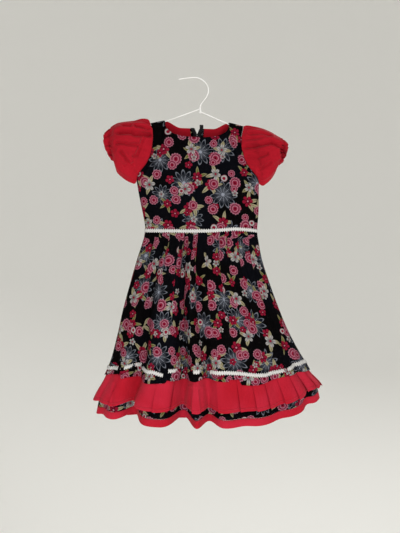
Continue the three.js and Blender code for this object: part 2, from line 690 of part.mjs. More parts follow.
const BRAID = { waistHigh: -362, waistLow: -371, lowerHigh: -695.5, lowerLow: -704.5 };
const MIDDLE = 1e-6; // a back half starts just beside the middle
const WAIST_COLUMNS = {
  front: steps(-1, 1, 20), backLeft: steps(-1, -MIDDLE, 10), backRight: steps(MIDDLE, 1, 10),
};
const BACK_PLEATS = steps(-1, 1, BACK_PLEAT_COUNT + 1).slice(1, -1);
const TIER_ROWS = [0, 0.5, 1];
const BAND_ROWS = [0, 1];

const waistBraid = (side, columns, gap) => braid(side, columns, BRAID.waistHigh, BRAID.waistLow, gap);
const lowerBraid = (side, columns) => braid(side, columns, BRAID.lowerHigh, BRAID.lowerLow);
const flowerTier = (side, columns) => underTier(side, columns, TIER_TOP_Z, BAND_Z + SEAM / 2, TIER_ROWS);
const hemBand = (side, columns) => underTier(side, columns, BAND_Z - SEAM / 2, HEM_Z, BAND_ROWS);

const dress = new THREE.Group();
dress.add(
  node('hanger_hook', hangerHook(), 'wire'),
  node('hanger_arm_left', hangerArm(ARM_LEFT), 'wire'),
  node('hanger_arm_right', hangerArm(ARM_RIGHT), 'wire'),
  node('hanger_bar', hangerBar(), 'wire'),
  node('bodice_front', bodiceFront(), 'print'),
  node('bodice_back_left', bodiceBack(-1), 'print'),
  node('bodice_back_right', bodiceBack(1), 'print'),
  node('neck_facing_left', neckFacing(-1), 'red'),
  node('neck_facing_right', neckFacing(1), 'red'),
  node('zip_tape_left', zipTape(-1), 'zip'),
  node('zip_tape_right', zipTape(1), 'zip'),
  node('zip_slider', zipSlider(), 'metal'),
  node('zip_pull', zipPull(), 'metal'),
  node('sleeve_left', sleeve(-1, SLEEVE_LEFT), 'red'),
  node('sleeve_right', sleeve(1, SLEEVE_RIGHT), 'red'),
  node('waist_braid_front', waistBraid(-1, WAIST_COLUMNS.front), 'braid'),
  node('waist_braid_back_left', waistBraid(1, WAIST_COLUMNS.backLeft, ZIP_HALF), 'braid'),
  node('waist_braid_back_right', waistBraid(1, WAIST_COLUMNS.backRight, ZIP_HALF), 'braid'),
  node('skirt_front', skirtFront(), 'print'),
  node('skirt_back_left', skirtBack(-1), 'print'),
  node('skirt_back_right', skirtBack(1), 'print'),
  node('skirt_braid_front', lowerBraid(-1, FRONT_COLUMNS), 'braid'),
  node('skirt_braid_back', lowerBraid(1, BACK_COLUMNS), 'braid'),
  node('ruffle_front', ruffle(-1, FRONT_PLEATS, FRONT_COLUMNS), 'red'),
  node('ruffle_back', ruffle(1, BACK_PLEATS, BACK_COLUMNS), 'red'),
  node('under_tier_front', flowerTier(-1, FRONT_COLUMNS), 'print'),
  node('under_tier_back', flowerTier(1, BACK_COLUMNS), 'print'),
  node('hem_band_front', hemBand(-1, FRONT_COLUMNS), 'red'),
  node('hem_band_back', hemBand(1, BACK_COLUMNS), 'red'),
);

export default dress;
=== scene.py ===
# %% [markdown]
# # A girl's huasa dress on a wire hanger
#
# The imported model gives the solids: bodice, sleeves, skirt, tiers, trims, zip and hanger, in metres,
# with +Z up and the front of the dress towards -Y. They are right in shape and plain in looks. This
# lesson dresses them: each cloth solid gets a thin sheet in its place, with its finer creases, and a
# material with print, weave and stitching.

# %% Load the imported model
import json
import math

import bpy
import numpy as np
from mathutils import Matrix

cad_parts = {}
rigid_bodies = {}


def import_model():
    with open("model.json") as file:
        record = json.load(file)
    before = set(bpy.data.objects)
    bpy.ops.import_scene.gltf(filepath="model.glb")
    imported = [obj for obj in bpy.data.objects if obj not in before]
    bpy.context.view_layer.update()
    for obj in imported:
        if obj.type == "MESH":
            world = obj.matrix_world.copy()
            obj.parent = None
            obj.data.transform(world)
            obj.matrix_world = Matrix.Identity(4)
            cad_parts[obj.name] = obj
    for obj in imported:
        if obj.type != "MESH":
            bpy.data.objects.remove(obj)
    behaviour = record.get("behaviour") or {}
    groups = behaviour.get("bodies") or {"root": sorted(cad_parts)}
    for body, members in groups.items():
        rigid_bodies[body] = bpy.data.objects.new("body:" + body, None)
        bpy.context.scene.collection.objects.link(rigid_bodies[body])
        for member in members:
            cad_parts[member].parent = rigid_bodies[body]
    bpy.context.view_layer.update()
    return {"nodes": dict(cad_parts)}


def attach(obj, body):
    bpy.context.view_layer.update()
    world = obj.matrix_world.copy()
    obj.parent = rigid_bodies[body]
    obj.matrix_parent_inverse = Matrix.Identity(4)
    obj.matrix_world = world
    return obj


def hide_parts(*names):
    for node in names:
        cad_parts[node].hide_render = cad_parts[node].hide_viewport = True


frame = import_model()
MM = 0.001

# %% [markdown]
# ## Camera
#
# The photograph was taken from straight in front, at the height of the skirt. A camera can be found
# by matching three known points; here one pixel is 2.4 mm at the dress, and that fixes the width of
# the view. The distance is a guess that fits a phone held about two metres away.

# %% Camera in front of the dress
PHOTO_TALL = 533
PIXEL = 2.4 * MM
CAMERA_AWAY = 2.2
CAMERA_X, CAMERA_Z = 0.0096, -0.4524
SENSOR = 36

camera_data = bpy.data.cameras.new("camera")
camera_data.sensor_width = SENSOR
camera_data.lens = SENSOR * CAMERA_AWAY / (PHOTO_TALL * PIXEL)
camera = bpy.data.objects.new("camera", camera_data)
camera.location = (CAMERA_X, -CAMERA_AWAY, CAMERA_Z)
camera.rotation_euler = (math.pi / 2, 0, 0)
bpy.context.scene.collection.objects.link(camera)
bpy.context.scene.camera = camera
print("lens in mm:", round(camera_data.lens, 1))

# %% [markdown]
# ## Floor and light
#
# A studio sweep is a floor that curves up at its end, so no horizon shows. It could be one bent
# sheet behind the dress, but then the back of the dress would be out of sight. Turned all round, like
# a wide bowl, it works for a camera on any side. The light is soft: a pale sky all round, one panel
# high in front on the right, one low in front that lightens the ruffle, and a large one behind, on the
# right, for the back of the dress.

# %% Round studio sweep
FLOOR_Z, FLOOR_COLOUR = -1.9, (0.88, 0.875, 0.845)
SWEEP_WIDE, SWEEP_BEND, SWEEP_TALL, SWEEP_MIDDLE = 6.0, 5.4, 7.0, 0.0005


def new_material(name, roughness, shine=0.5):
    """A material, its node tree and its shader."""
    material = bpy.data.materials.new(name)
    material.use_nodes = True
    shader = material.node_tree.nodes["Principled BSDF"]
    shader.inputs["Roughness"].default_value = roughness
    shader.inputs["Specular IOR Level"].default_value = shine
    return material, material.node_tree, shader


def sweep():
    inner, around = SWEEP_WIDE - SWEEP_BEND, 64
    bend = [
        (inner + SWEEP_BEND * math.sin(a), SWEEP_BEND * (1 - math.cos(a)))
        for a in np.linspace(0, math.pi / 2, 25)
    ]
    profile = [(SWEEP_MIDDLE, 0), *bend, (SWEEP_WIDE, SWEEP_TALL)]
    points, faces = [], []
    for k in range(around):
        angle = 2 * math.pi * k / around
        points += [(r * math.cos(angle), r * math.sin(angle), FLOOR_Z + z) for r, z in profile]
    tall = len(profile)
    for k in range(around):
        for j in range(tall - 1):
            a, b = k * tall + j, (k + 1) % around * tall + j
            faces.append((a, b, b + 1, a + 1))
    mesh = bpy.data.meshes.new("floor")
    mesh.from_pydata(points, [], faces)
    mesh.shade_smooth()
    floor = bpy.data.objects.new("floor", mesh)
    bpy.context.scene.collection.objects.link(floor)
    material, _, shader = new_material("floor_paint", 0.9)
    shader.inputs["Base Color"].default_value = (*FLOOR_COLOUR, 1)
    mesh.materials.append(material)


sweep()
print("floor at", FLOOR_Z, "m")

# %% Soft panels and a pale sky
PANELS = [
    # name, place, width, watts
    ("key_panel", (1.4, -1.9, 0.4), 0.8, 20),
    ("low_panel", (-0.3, -1.5, -1.2), 0.9, 15),
    ("back_panel", (0.9, 1.9, 0.9), 1.6, 26),
]
AIM = (0, 0, -0.5)
SKY, SKY_STRENGTH = (0.9, 0.89, 0.87, 1), 0.75


def panel(name, place, width, watts):
    light = bpy.data.lights.new(name, "AREA")
    light.energy, light.size = watts, width
    lamp = bpy.data.objects.new(name, light)
    lamp.location = place
    away = np.subtract(place, AIM)
    lamp.rotation_euler = (
        math.atan2(math.hypot(away[0], away[1]), away[2]),
        0,
        math.atan2(away[1], away[0]) + math.pi / 2,
    )
    bpy.context.scene.collection.objects.link(lamp)


for row in PANELS:
    panel(*row)

world = bpy.data.worlds.new("sky")
world.use_nodes = True
sky = world.node_tree.nodes["Background"]
sky.inputs["Color"].default_value = SKY
sky.inputs["Strength"].default_value = SKY_STRENGTH
bpy.context.scene.world = world
bpy.context.scene.view_settings.view_transform = "Standard"
print("panels:", len(PANELS))

# %% [markdown]
# ## The form of the dress
#
# A pattern cutter gives a dress by a few measures at a few levels, and a smooth line joins them. The
# same is done here, in millimetres: a table holds a measure at each level, and `read` follows a
# smooth curve through it. These are the measures of the solids, so a sheet made from them lies in
# their place. A mesh could also be copied from the solids, but then it would be as coarse as they are.

# %% Measures of the dress
SEAM, CLOTH, LIE = 0.3, 1.4, 0.95  # gap of a seam, cloth of a solid, space between two layers
SHOULDER_Z, SHOULDER_DROP = -104.5, 7.5
NECK_HALF, NECK_SHARE = 77, 10 / 12
FRONT_SCOOP, BACK_SCOOP, SCOOP_POWER = 39, 15, 2.7
NECK_DEEP = {-1: 15, 1: 13}
ARMHOLE_DEPTH = 12
UNDERARM_Z, WAIST_Z, SKIRT_Z = -252, -366.5, -721
TIER_TOP_Z, RUFFLE_Z, BAND_Z, HEM_Z = -706, -788, -807, -826
TILT = 0.032
ZIP_HALF, ZIP_END_Z, ZIP_OPEN, ZIP_SPREAD, TAPE_WIDE = 4.5, -448, 14, 6, 9
FRONT, BACK = -1, 1


def table(names, rows):
    return dict(zip(names.split(), np.array(rows, float).T))


HANG = table("z lean tilt", [
    (-60, 2, 1), (-170, 3, 1), (-252, 4.5, 0.6), (-340, 12, 0.25), (-385, 11.5, 0), (-437, 8, 0),
    (-495, 9, 0), (-555, 11.5, 0), (-615, 17, 0), (-672, 24.5, 0), (-700, 27, 0), (-860, 30, 0),
])
BODY = table("z half front back rise_left rise_right", [
    (-252, 146.5, 26, 21, 0, 0), (-300, 142, 28, 22, 0, 0), (-332, 138, 28, 22, 0, 0),
    (-358, 134.5, 27, 21, 0, 0), (-370, 135, 27, 21, 0, 0), (-385, 137, 32, 25, 0, 0),
    (-437, 150, 46, 34, 1, 3), (-495, 167, 58, 42, 2, 5), (-555, 185.5, 69, 49, 3, 8),
    (-615, 204, 79, 55, 4, 12), (-672, 225, 87, 60, 6, 16), (-700, 238, 91, 63, 6, 18),
    (-721, 247, 93, 65, 9, 22), (-760, 260, 95, 67, 14, 40), (-788, 266, 97, 69, 18, 53),
    (-826, 272, 99, 70, 23, 60),
])
ARMHOLE = table("down half", [
    (0, 111), (0.2, 106), (0.4, 107), (0.55, 112), (0.7, 122), (0.85, 139), (0.93, 144.5), (1, 146.5),
])


def read(rows, at, name):
    """A column of a table at values of its first column, along a smooth curve."""
    x, y = next(iter(rows.values())), rows[name]
    if x[0] > x[-1]:
        x, y = x[::-1], y[::-1]
    slope = np.empty(len(x))
    slope[1:-1] = (y[2:] - y[:-2]) / (x[2:] - x[:-2])
    slope[0], slope[-1] = (y[1] - y[0]) / (x[1] - x[0]), (y[-1] - y[-2]) / (x[-1] - x[-2])
    at = np.clip(at, x[0], x[-1])
    i = np.clip(np.searchsorted(x, at, side="right") - 1, 0, len(x) - 2)
    step = x[i + 1] - x[i]
    t = (at - x[i]) / step
    line = y[i] + (y[i + 1] - y[i]) * t * t * (3 - 2 * t)
    return line + t * (1 - t) * step * ((1 - t) * slope[i] - t * slope[i + 1])


def lerp(a, b, t):
    return a + (b - a) * t


def smooth(t):
    t = np.clip(t, 0, 1)
    return t * t * (3 - 2 * t)


def joined(x, y, z):
    return np.stack(np.broadcast_arrays(x, y, z), axis=-1).astype(float)


def hang(points):
    """Leans and tilts the garment as its hanger makes it."""
    x, y, z = np.moveaxis(points, -1, 0)
    return joined(x + read(HANG, z, "lean"), y, z - x * read(HANG, z, "tilt") * TILT)


print("levels of the body:", len(BODY["z"]))

# %% [markdown]
# ## Folds of the skirt
#
# Gathered at the waist, the skirt falls in small even ripples that merge into a few deep folds. A
# cloth simulation would give folds of its own. The photograph shows where each one falls, so each is
# a soft trough with a place, a width and a depth at the waist and at the hem. Finer, uneven gathers
# are added on top of those that the solids have. Where the cloth is tucked under at the waist, a
# narrow crease shows it, and the print jumps across the crease by the cloth that it hides.

# %% Folds and gathers
FOLD = "waist hem wide_top wide_hem deep_top deep_hem"
FOLDS = {
    FRONT: table(FOLD, [
        (-0.76, -0.8, 0.04, 0.07, 1, 9), (-0.46, -0.5, 0.03, 0.075, 2, 46),
        (-0.166, -0.15, 0.03, 0.06, 5, 50), (-0.09, -0.072, 0.04, 0.038, 0, -9),
        (-0.02, 0.005, 0.03, 0.045, 2, 32), (0.2, 0.2, 0.05, 0.06, 1, 7),
        (0.42, 0.43, 0.04, 0.07, 3, 9), (0.66, 0.7, 0.04, 0.06, 2, 12),
    ]),
    BACK: table(FOLD, [
        (-0.66, -0.7, 0.04, 0.08, 2, 18), (-0.35, -0.4, 0.04, 0.09, 2, 24),
        (0.3, 0.27, 0.04, 0.09, 2, 26), (0.62, 0.64, 0.04, 0.08, 2, 20),
    ]),
}
FOLD_LIFT, LIFT_POWER, SIDE_CALM = 0.42, 3, 8
LAYER_STEP, STEEPEST = 0.006, 0.4
GATHER_COUNT, GATHER_HIGH, GATHER_FADE, GATHER_CLEAR = 12, 2.4, 0.1, 0.06
GATHER_FROM, GATHER_EASE = 0.012, 0.04
# waves per half panel, height in mm, start of the wave, how far down it fades (share of the skirt)
FINE_GATHERS = [(31, 1.3, 0.4, 0.1), (19, 1.6, 2.1, 0.15), (8.3, 2.4, 1.3, 0.3), (5.1, 2.4, 0.2, 0.45)]

# Places (shares s) where the cloth is tucked under at the waist, and how many millimetres it hides.
TUCKS = {
    FRONT: [
        (-0.52, 10), (-0.37, 14), (-0.235, 17), (-0.185, 22), (-0.14, 18), (-0.085, 22), (-0.035, 17),
        (0.07, 12), (0.21, 17), (0.3, 11), (0.45, 15), (0.62, 9),
    ],
    BACK: [
        (-0.52, 12), (-0.4, 16), (-0.28, 18), (-0.18, 16), (0.17, 16), (0.27, 18), (0.41, 16),
        (0.54, 12),
    ],
}
TUCK_DEEP, TUCK_WIDE, TUCK_FADE = 2.6, 0.011, 0.45


def fall_share(z):
    return np.clip((WAIST_Z - z) / (WAIST_Z - HEM_Z), 0, 1)


def tuck_fade(z):
    return np.exp(-((fall_share(z) / TUCK_FADE) ** 2))


def hidden_cloth(side, s, z):
    """How far the cloth that the tucks hide moves the print across, in metres."""
    moved = sum(wide * (smooth((s - at) / TUCK_WIDE + 0.5) - 0.5) for at, wide in TUCKS[side])
    return moved * tuck_fade(z) * MM


def fold_depth(side, s, z, fine=True):
    fall = fall_share(z)
    deep = 0
    for waist, hem, wide_top, wide_hem, deep_top, deep_hem in zip(*FOLDS[side].values()):
        away = (s - lerp(waist, hem, fall)) / lerp(wide_top, wide_hem, fall)
        deep = deep + lerp(deep_top, deep_hem, fall) * np.exp(-away * away)
    clear = smooth((abs(s) - GATHER_CLEAR) / GATHER_CLEAR) if side == BACK else 1
    gather = GATHER_HIGH * np.exp(-fall / GATHER_FADE) * np.sin(s * GATHER_COUNT * math.pi)
    if fine:
        for count, high, start, fade in FINE_GATHERS:
            gather = gather + high * np.exp(-fall / fade) * np.sin(s * count * math.pi + start + side)
        for at, _ in TUCKS[side]:
            gather = gather + TUCK_DEEP * tuck_fade(z) * np.exp(-(((s - at) / TUCK_WIDE) ** 2))
    return (1 - s**SIDE_CALM) * smooth((fall - GATHER_FROM) / GATHER_EASE) * (deep + clear * gather)


def section(side, s, z):
    """Half width and depth of the dress at a level, with the sine and cosine of the place on it."""
    half, deep = read(BODY, z, "half"), read(BODY, z, "front" if side == FRONT else "back")
    return half, deep, np.sin(s * math.pi / 2), np.cos(s * math.pi / 2)


def body_spot(side, s, z, out=0.0, gap=0.0, fine=True):
    """A point of the dress below the underarm, out millimetres outside its folded form."""
    half, deep, sin, cos = section(side, s, z)
    rise = np.where(s < 0, read(BODY, z, "rise_left"), read(BODY, z, "rise_right")) * abs(sin) ** 3
    nx, ny = deep * sin, side * half * cos
    fold = fold_depth(side, s, z, fine)
    move = (out - fold) / np.hypot(nx, ny)
    lift = FOLD_LIFT * fold * fall_share(z) ** LIFT_POWER
    x = np.sign(s) * gap + (half - gap) * sin
    y = side * (SEAM / 2 + deep * np.maximum(cos, 0))
    return joined(x + nx * move, y + ny * move, z + rise + lift)


def layer_spot(side, s, z, out):
    """As body_spot, with the same clear space kept on the steep sides of a fold."""
    run = body_spot(side, np.minimum(s + LAYER_STEP, 1), z)
    run = run - body_spot(side, np.maximum(s - LAYER_STEP, -1), z)
    half, deep, sin, cos = section(side, s, z)
    nx, ny = deep * sin, side * half * cos
    along = abs(run[..., 1] * nx - run[..., 0] * ny)
    steep = along / np.hypot(nx, ny) / np.hypot(run[..., 0], run[..., 1])
    return body_spot(side, s, z, out / np.clip(steep, STEEPEST, 1))


print("folds in front:", len(FOLDS[FRONT]["hem"]), "and behind:", len(FOLDS[BACK]["hem"]))

# %% [markdown]
# ## The bodice
#
# Above the underarm a bodice panel runs from its top edge (the neckline and the shoulder seam) down to
# the underarm. `s` runs across from -1 to 1, and `down` from 0 at the top over 1 at the underarm to 2
# at the waist.

# %% Form of the bodice
NECK_ROUND, CHEST_ROUND, ZIP_EASE, BESIDE = 0.35, 0.8, 14, 0.001


def top_width(s):
    """How far from the middle the top edge is at s."""
    size = abs(s)
    neck = NECK_HALF * np.sin(np.minimum(size / NECK_SHARE, 1) * math.pi / 2)
    shoulder = lerp(NECK_HALF, ARMHOLE["half"][0], (size - NECK_SHARE) / (1 - NECK_SHARE))
    return np.sign(s) * np.where(size <= NECK_SHARE, neck, shoulder)


def top_edge(side, x):
    """Height of the neckline and the shoulder at x."""
    size = abs(x)
    share = np.minimum(size / NECK_HALF, 1)
    if side == FRONT:
        neck = SHOULDER_Z - FRONT_SCOOP * (1 - share**SCOOP_POWER) ** (1 / SCOOP_POWER)
    else:
        neck = SHOULDER_Z - BACK_SCOOP * smooth((1 - share) / 0.5)
    slope = (size - NECK_HALF) / (ARMHOLE["half"][0] - NECK_HALF)
    return np.where(size >= NECK_HALF, SHOULDER_Z - SHOULDER_DROP * slope, neck)


def yoke_spot(side, s, down, out=0.0, gap=0.0):
    """A point of a bodice panel above the underarm."""
    half = read(ARMHOLE, down, "half")
    share = lerp(top_width(s) / ARMHOLE["half"][0], np.sin(s * math.pi / 2), down)
    x = np.sign(s) * gap + (half - gap) * share
    z = lerp(top_edge(side, top_width(s)), UNDERARM_Z, down)
    _, chest, _, cos = section(side, s, UNDERARM_Z)
    neck = (1 - np.minimum(abs(s) / NECK_SHARE, 1) ** 2) ** NECK_ROUND
    edge = 2 * ARMHOLE_DEPTH * np.sqrt(np.maximum(down * (1 - down), 0)) * (1 - cos * cos)
    deep = edge + chest * cos * down**CHEST_ROUND + NECK_DEEP[side] * neck * (1 - down)
    return joined(x, side * (SEAM / 2 + deep + out), z)


def bodice_spot(side, s, down, gap=0.0):
    """A point of a bodice panel, from its top edge to the waist."""
    yoke = yoke_spot(side, s, np.clip(down, 0, 1), 0, gap)
    level = lerp(UNDERARM_Z, WAIST_Z + SEAM / 2, np.clip(down - 1, 0, 1))
    return np.where((down <= 1)[..., None], yoke, body_spot(side, s, level, 0, gap, False))


BACK_TOP = float(top_edge(BACK, np.float64(0)))


def back_gap(z):
    """Half the distance between the two back edges, where the zip lies."""
    spread = ZIP_SPREAD * np.clip(1 - (BACK_TOP - z) / ZIP_OPEN, 0, 1)
    return lerp(SEAM / 2, ZIP_HALF, smooth((z - ZIP_END_Z) / ZIP_EASE + 1)) + spread


def back_middle(z):
    """The point of the back, before it hangs, beside its middle at a height."""
    z = np.asarray(z, float)
    near = np.full_like(z, BESIDE)
    yoke = yoke_spot(BACK, near, np.clip((BACK_TOP - z) / (BACK_TOP - UNDERARM_Z), 0, 1))
    return np.where((z > UNDERARM_Z)[..., None], yoke, body_spot(BACK, near, z, fine=False))


print("back neck at z", round(BACK_TOP, 1), "mm")

# %% [markdown]
# ## From a form to a sheet of cloth
#
# A sheet is a fine grid of points over the form, with a thickness added by Solidify. Its UV map is
# measured along the cloth in metres, as on the flat cut, so the print and the weave keep their true
# size and bend with the folds. Creases are pressed into the grid before it becomes a mesh: each is a
# soft trough along a route on the front of the dress, with a low ridge beside it.

# %% Grid, creases and sheet
SHEET_THICK, SHARP = 0.9, 60
RIDGE_HIGH, RIDGE_AWAY = 0.45, 1.9  # the ridge beside a crease, as shares of its depth and width


def steps(low, high, count):
    return np.linspace(low, high, count + 1)


def spaced(*parts):
    """Several runs of steps, one after the other."""
    return np.concatenate([steps(*parts[0]), *(steps(*part)[1:] for part in parts[1:])])


def over(place, across, down):
    a, d = np.meshgrid(across, down, indexing="ij")
    return hang(place(a, d))


def normals_of(points, out, around=False):
    if around:
        across = np.roll(points, -1, 0) - np.roll(points, 1, 0)
    else:
        across = np.gradient(points, axis=0)
    normal = np.cross(across, np.gradient(points, axis=1)) * out
    return normal / np.maximum(np.linalg.norm(normal, axis=-1, keepdims=True), 1e-9)


def distance_to(points, route):
    """Distance of each point, in the front view, from a route of (x, z) points."""
    spots = points[..., [0, 2]]
    best = np.full(spots.shape[:-1], 1e9)
    for a, b in zip(np.array(route[:-1], float), np.array(route[1:], float)):
        share = np.clip(((spots - a) @ (b - a)) / ((b - a) @ (b - a)), 0, 1)
        best = np.minimum(best, np.linalg.norm(spots - a - share[..., None] * (b - a), axis=-1))
    return best


def creased(points, out, creases, around=False):
    """Presses creases in, each a (depth, width, route), on the side that faces the front."""
    normal = normals_of(points, out, around)
    seen = np.clip(normal[..., 1] * FRONT * 2, 0, 1)
    move = 0
    for depth, width, route in creases:
        away = distance_to(points, route) / width
        ridge = RIDGE_HIGH * np.exp(-((away - RIDGE_AWAY) ** 2))
        move = move - depth * (np.exp(-away * away) - ridge)
    return points + normal * (seen * move)[..., None]


def lengths(points, axis):
    run = np.linalg.norm(np.diff(points, axis=axis), axis=-1)
    start = np.zeros_like(np.take(run, [0], axis=axis))
    return np.concatenate([start, np.cumsum(run, axis=axis)], axis=axis)


def closed(points, around):
    """The grid with its first line once more at the end, if it goes all round."""
    return np.concatenate([points, points[:1]]) if around else points


def grid_mesh(name, points, out, around=False, shift=(0, 0)):
    """A mesh of quads over a grid of points in mm, with two UV maps in metres: cut along the cloth, and
    edge with the height above the lower edge."""
    wide, tall = points.shape[:2]
    used = closed(points, around)
    if around:
        u, v = lengths(used, 0), -lengths(used, 1)
    else:
        u, v = lengths(used[..., :2], 0), used[..., 2]
        # A whole panel is measured from its middle, a half one from its edge at the zip.
        u = u - u[wide // 2] if abs(used[0, 0, 0]) > ZIP_HALF * 4 else u
    down = lengths(used, 1)
    maps = {
        "cut": np.stack([u * MM + shift[0], v * MM + shift[1]], -1),
        "edge": np.stack([u * MM, (down[:, -1:] - down) * MM], -1),
    }
    i, j = np.meshgrid(np.arange(wide if around else wide - 1), np.arange(tall - 1), indexing="ij")
    i, j = i.ravel(), j.ravel()
    corners = [(i, j), (i + 1, j), (i + 1, j + 1), (i, j + 1)]
    if out < 0:
        corners.reverse()
    faces = np.stack([(a % wide) * tall + b for a, b in corners], -1)
    mesh = bpy.data.meshes.new(name)
    mesh.from_pydata((points.reshape(-1, 3) * MM).tolist(), [], faces.tolist())
    for key, uv in maps.items():
        layer = mesh.uv_layers.new(name=key)
        layer.data.foreach_set("uv", np.stack([uv[a, b] for a, b in corners], 1).ravel())
    mesh.shade_smooth()
    mesh.validate()
    return mesh


def add_piece(name, mesh, material, nodes=()):
    piece = bpy.data.objects.new(name, mesh)
    bpy.context.scene.collection.objects.link(piece)
    mesh.materials.append(material)
    if nodes:
        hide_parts(*nodes)
    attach(piece, "dress")
    return piece


def thicken(piece, thick):
    solid = piece.modifiers.new("thickness", "SOLIDIFY")
    solid.thickness, solid.offset = thick * MM, -1


def cloth(name, points, out, material, around=False, shift=(0, 0),
          thick=SHEET_THICK, sharp=SHARP):
    """A sheet of cotton in place of the solid of that name."""
    mesh = grid_mesh(f"{name}_cloth", points, out, around, shift)
    mesh.set_sharp_from_angle(angle=math.radians(sharp))
    piece = add_piece(f"{name}_cloth", mesh, material, [name])
    thicken(piece, thick)


# %% [markdown]
# ## Cotton, printed and red
#
# Both cottons are plain weave: threads that pass over and under each other about 25 to the
# centimetre. At that size the weave only softens the light, so it is a very low bump in the material,
# made of two sine waves along the UV map. Cotton also has a faint sheen from loose fibres, and small
# creases that are too fine for the mesh.

# %% Helpers for shader nodes
def wire_up(tree, node, values):
    """Gives each input of a node a link, a colour or a plain value."""
    for key, value in values.items():
        socket = node.inputs[key]
        if isinstance(value, bpy.types.NodeSocket):
            tree.links.new(value, socket)
        elif isinstance(value, (tuple, list)) and len(value) == 3 and socket.type == "RGBA":
            socket.default_value = (*value, 1)
        else:
            socket.default_value = value
    return node


def maths(tree, operation, *values, kind="ShaderNodeMath"):
    node = tree.nodes.new(kind)
    node.operation = operation
    return wire_up(tree, node, dict(enumerate(values))).outputs[0]


def vector_maths(tree, operation, *values):
    return maths(tree, operation, *values, kind="ShaderNodeVectorMath")


def short(operation):
    return lambda tree, *values: maths(tree, operation, *values)


times, plus, minus, larger = map(short, ("MULTIPLY", "ADD", "SUBTRACT", "MAXIMUM"))
sine, cosine, size_of = map(short, ("SINE", "COSINE", "ABSOLUTE"))


def split(tree, vector):
    return wire_up(tree, tree.nodes.new("ShaderNodeSeparateXYZ"), {0: vector}).outputs


def ramp(tree, value, low, high):
    """0 at low and 1 at high, with a soft start and end."""
    node = tree.nodes.new("ShaderNodeMapRange")
    node.interpolation_type = "SMOOTHSTEP"
    return wire_up(tree, node, {"Value": value, "From Min": low, "From Max": high}).outputs[0]


def paint(tree, share, under, top):
    node = tree.nodes.new("ShaderNodeMix")
    node.data_type = "RGBA"
    return wire_up(tree, node, {0: share, 6: under, 7: top}).outputs[2]


def noise(tree, place, scale, detail=2.0, result="Fac"):
    node = tree.nodes.new("ShaderNodeTexNoise")
    return wire_up(tree, node, {"Vector": place, "Scale": scale, "Detail": detail}).outputs[result]


# %% Weave, small creases and the cotton shader
THREAD = 0.0004
CREASE_SCALE, CREASE_HIGH = 38, 0.0011
COTTON_ROUGH, SHEEN_ROUGH = 0.85, 0.45


def uv_place(tree, name="cut"):
    node = tree.nodes.new("ShaderNodeUVMap")
    node.uv_map = name
    return node.outputs["UV"]


def woven_height(tree, place, thread=THREAD):
    parts = split(tree, place)
    return times(tree, *(sine(tree, times(tree, parts[k], math.pi / thread)) for k in (0, 1)))


def bumped(tree, height, distance, strength, under=None):
    node = tree.nodes.new("ShaderNodeBump")
    wire_up(tree, node, {"Height": height, "Distance": distance, "Strength": strength})
    if under is not None:
        tree.links.new(under, node.inputs["Normal"])
    return node.outputs["Normal"]


def cotton(name, colour_of, shine=0.1, sheen=0.05, hem=None):
    """colour_of(tree, place) gives the colour socket; hem is a hem's depth in mm, if it has one."""
    material, tree, shader = new_material(name, COTTON_ROUGH, shine)
    wire_up(tree, shader, {"Sheen Weight": sheen, "Sheen Roughness": SHEEN_ROUGH})
    place = uv_place(tree)
    colour = colour_of(tree, place)
    normal = bumped(tree, noise(tree, place, CREASE_SCALE, 3), CREASE_HIGH, 0.6)
    if hem:
        doubled, stitches = hem_marks(tree, hem * MM)
        normal = bumped(tree, minus(tree, doubled, stitches), HEM_THICK, 1.0, normal)
        colour = paint(tree, times(tree, stitches, THREAD_SHOWS), colour, RED_THREAD)
    normal = bumped(tree, woven_height(tree, place), THREAD / 6, 0.5, normal)
    wire_up(tree, shader, {"Base Color": colour, "Normal": normal})
    return material


# %% Turned hems and the red cottons
# In metres: the doubled cloth's rise, a stitch's length, the seam's place below the hem's edge, its
# half width, and how softly each ends.
HEM_THICK, STITCH, SEAM_IN, SEAM_HALF = 0.0007, 0.0028, 0.0016, 0.0004
SEAM_SOFT, HEM_SOFT = 0.0005, 0.0006
# The third red is painted light: the same cloth, paler, for the brighter light on the ruffle and the
# hem band.
RED, RED_DEEP, PAINTED_LIGHT_RED = (0.36, 0.0052, 0.0155), (0.31, 0.0038, 0.0125), (0.43, 0.014, 0.034)
RED_THREAD, THREAD_SHOWS = (0.6, 0.03, 0.055), 0.7


def hem_marks(tree, deep):
    """Where the cloth lies double below a hem's seam, and the dashes of its stitches."""
    along, up, _ = split(tree, uv_place(tree, "edge"))
    doubled = ramp(tree, up, deep + HEM_SOFT, deep - HEM_SOFT)
    off = size_of(tree, minus(tree, up, deep - SEAM_IN))
    wave = sine(tree, times(tree, along, 2 * math.pi / STITCH))
    seam = ramp(tree, off, SEAM_HALF + SEAM_SOFT, SEAM_HALF)
    return doubled, times(tree, seam, ramp(tree, wave, -0.6, -0.2))


def dyed(deep, pale):
    """The colour of a cotton that is slightly uneven, between two reds."""
    return lambda tree, place: paint(tree, ramp(tree, noise(tree, place, 9), 0.3, 0.7), deep, pale)


# The ruffle and the hem band get a paler red than the sleeves: painted light, the same cloth made paler
# for the brighter light low on the dress.
RED_COTTON = cotton("red_cotton", dyed(RED_DEEP, RED))
RUFFLE_COTTON = cotton("red_cotton_ruffle", dyed(RED, PAINTED_LIGHT_RED), hem=8)
BAND_COTTON = cotton("red_cotton_band", dyed(RED, PAINTED_LIGHT_RED), hem=17.5)
SLEEVE_COTTON = cotton("red_cotton_sleeve", dyed(RED_DEEP, RED), hem=3)
print("thread:", THREAD * 1000, "mm")

# %% [markdown]
# ## The flowered print
#
# The print is a dense scatter of flowers on black: grey line-drawn daisies, olive leaves, crimson
# flowers, pink chrysanthemums, white flowers and small buds. It could be drawn as an image, but a
# pattern made of nodes has no edge and no repeat. Voronoi cells scatter the flowers: each cell's
# point is a flower's middle, and the distance and direction from it give the petals. One node group
# does that, and each kind of flower is the group with its own size, petals and colours, laid over the
# kinds before it.

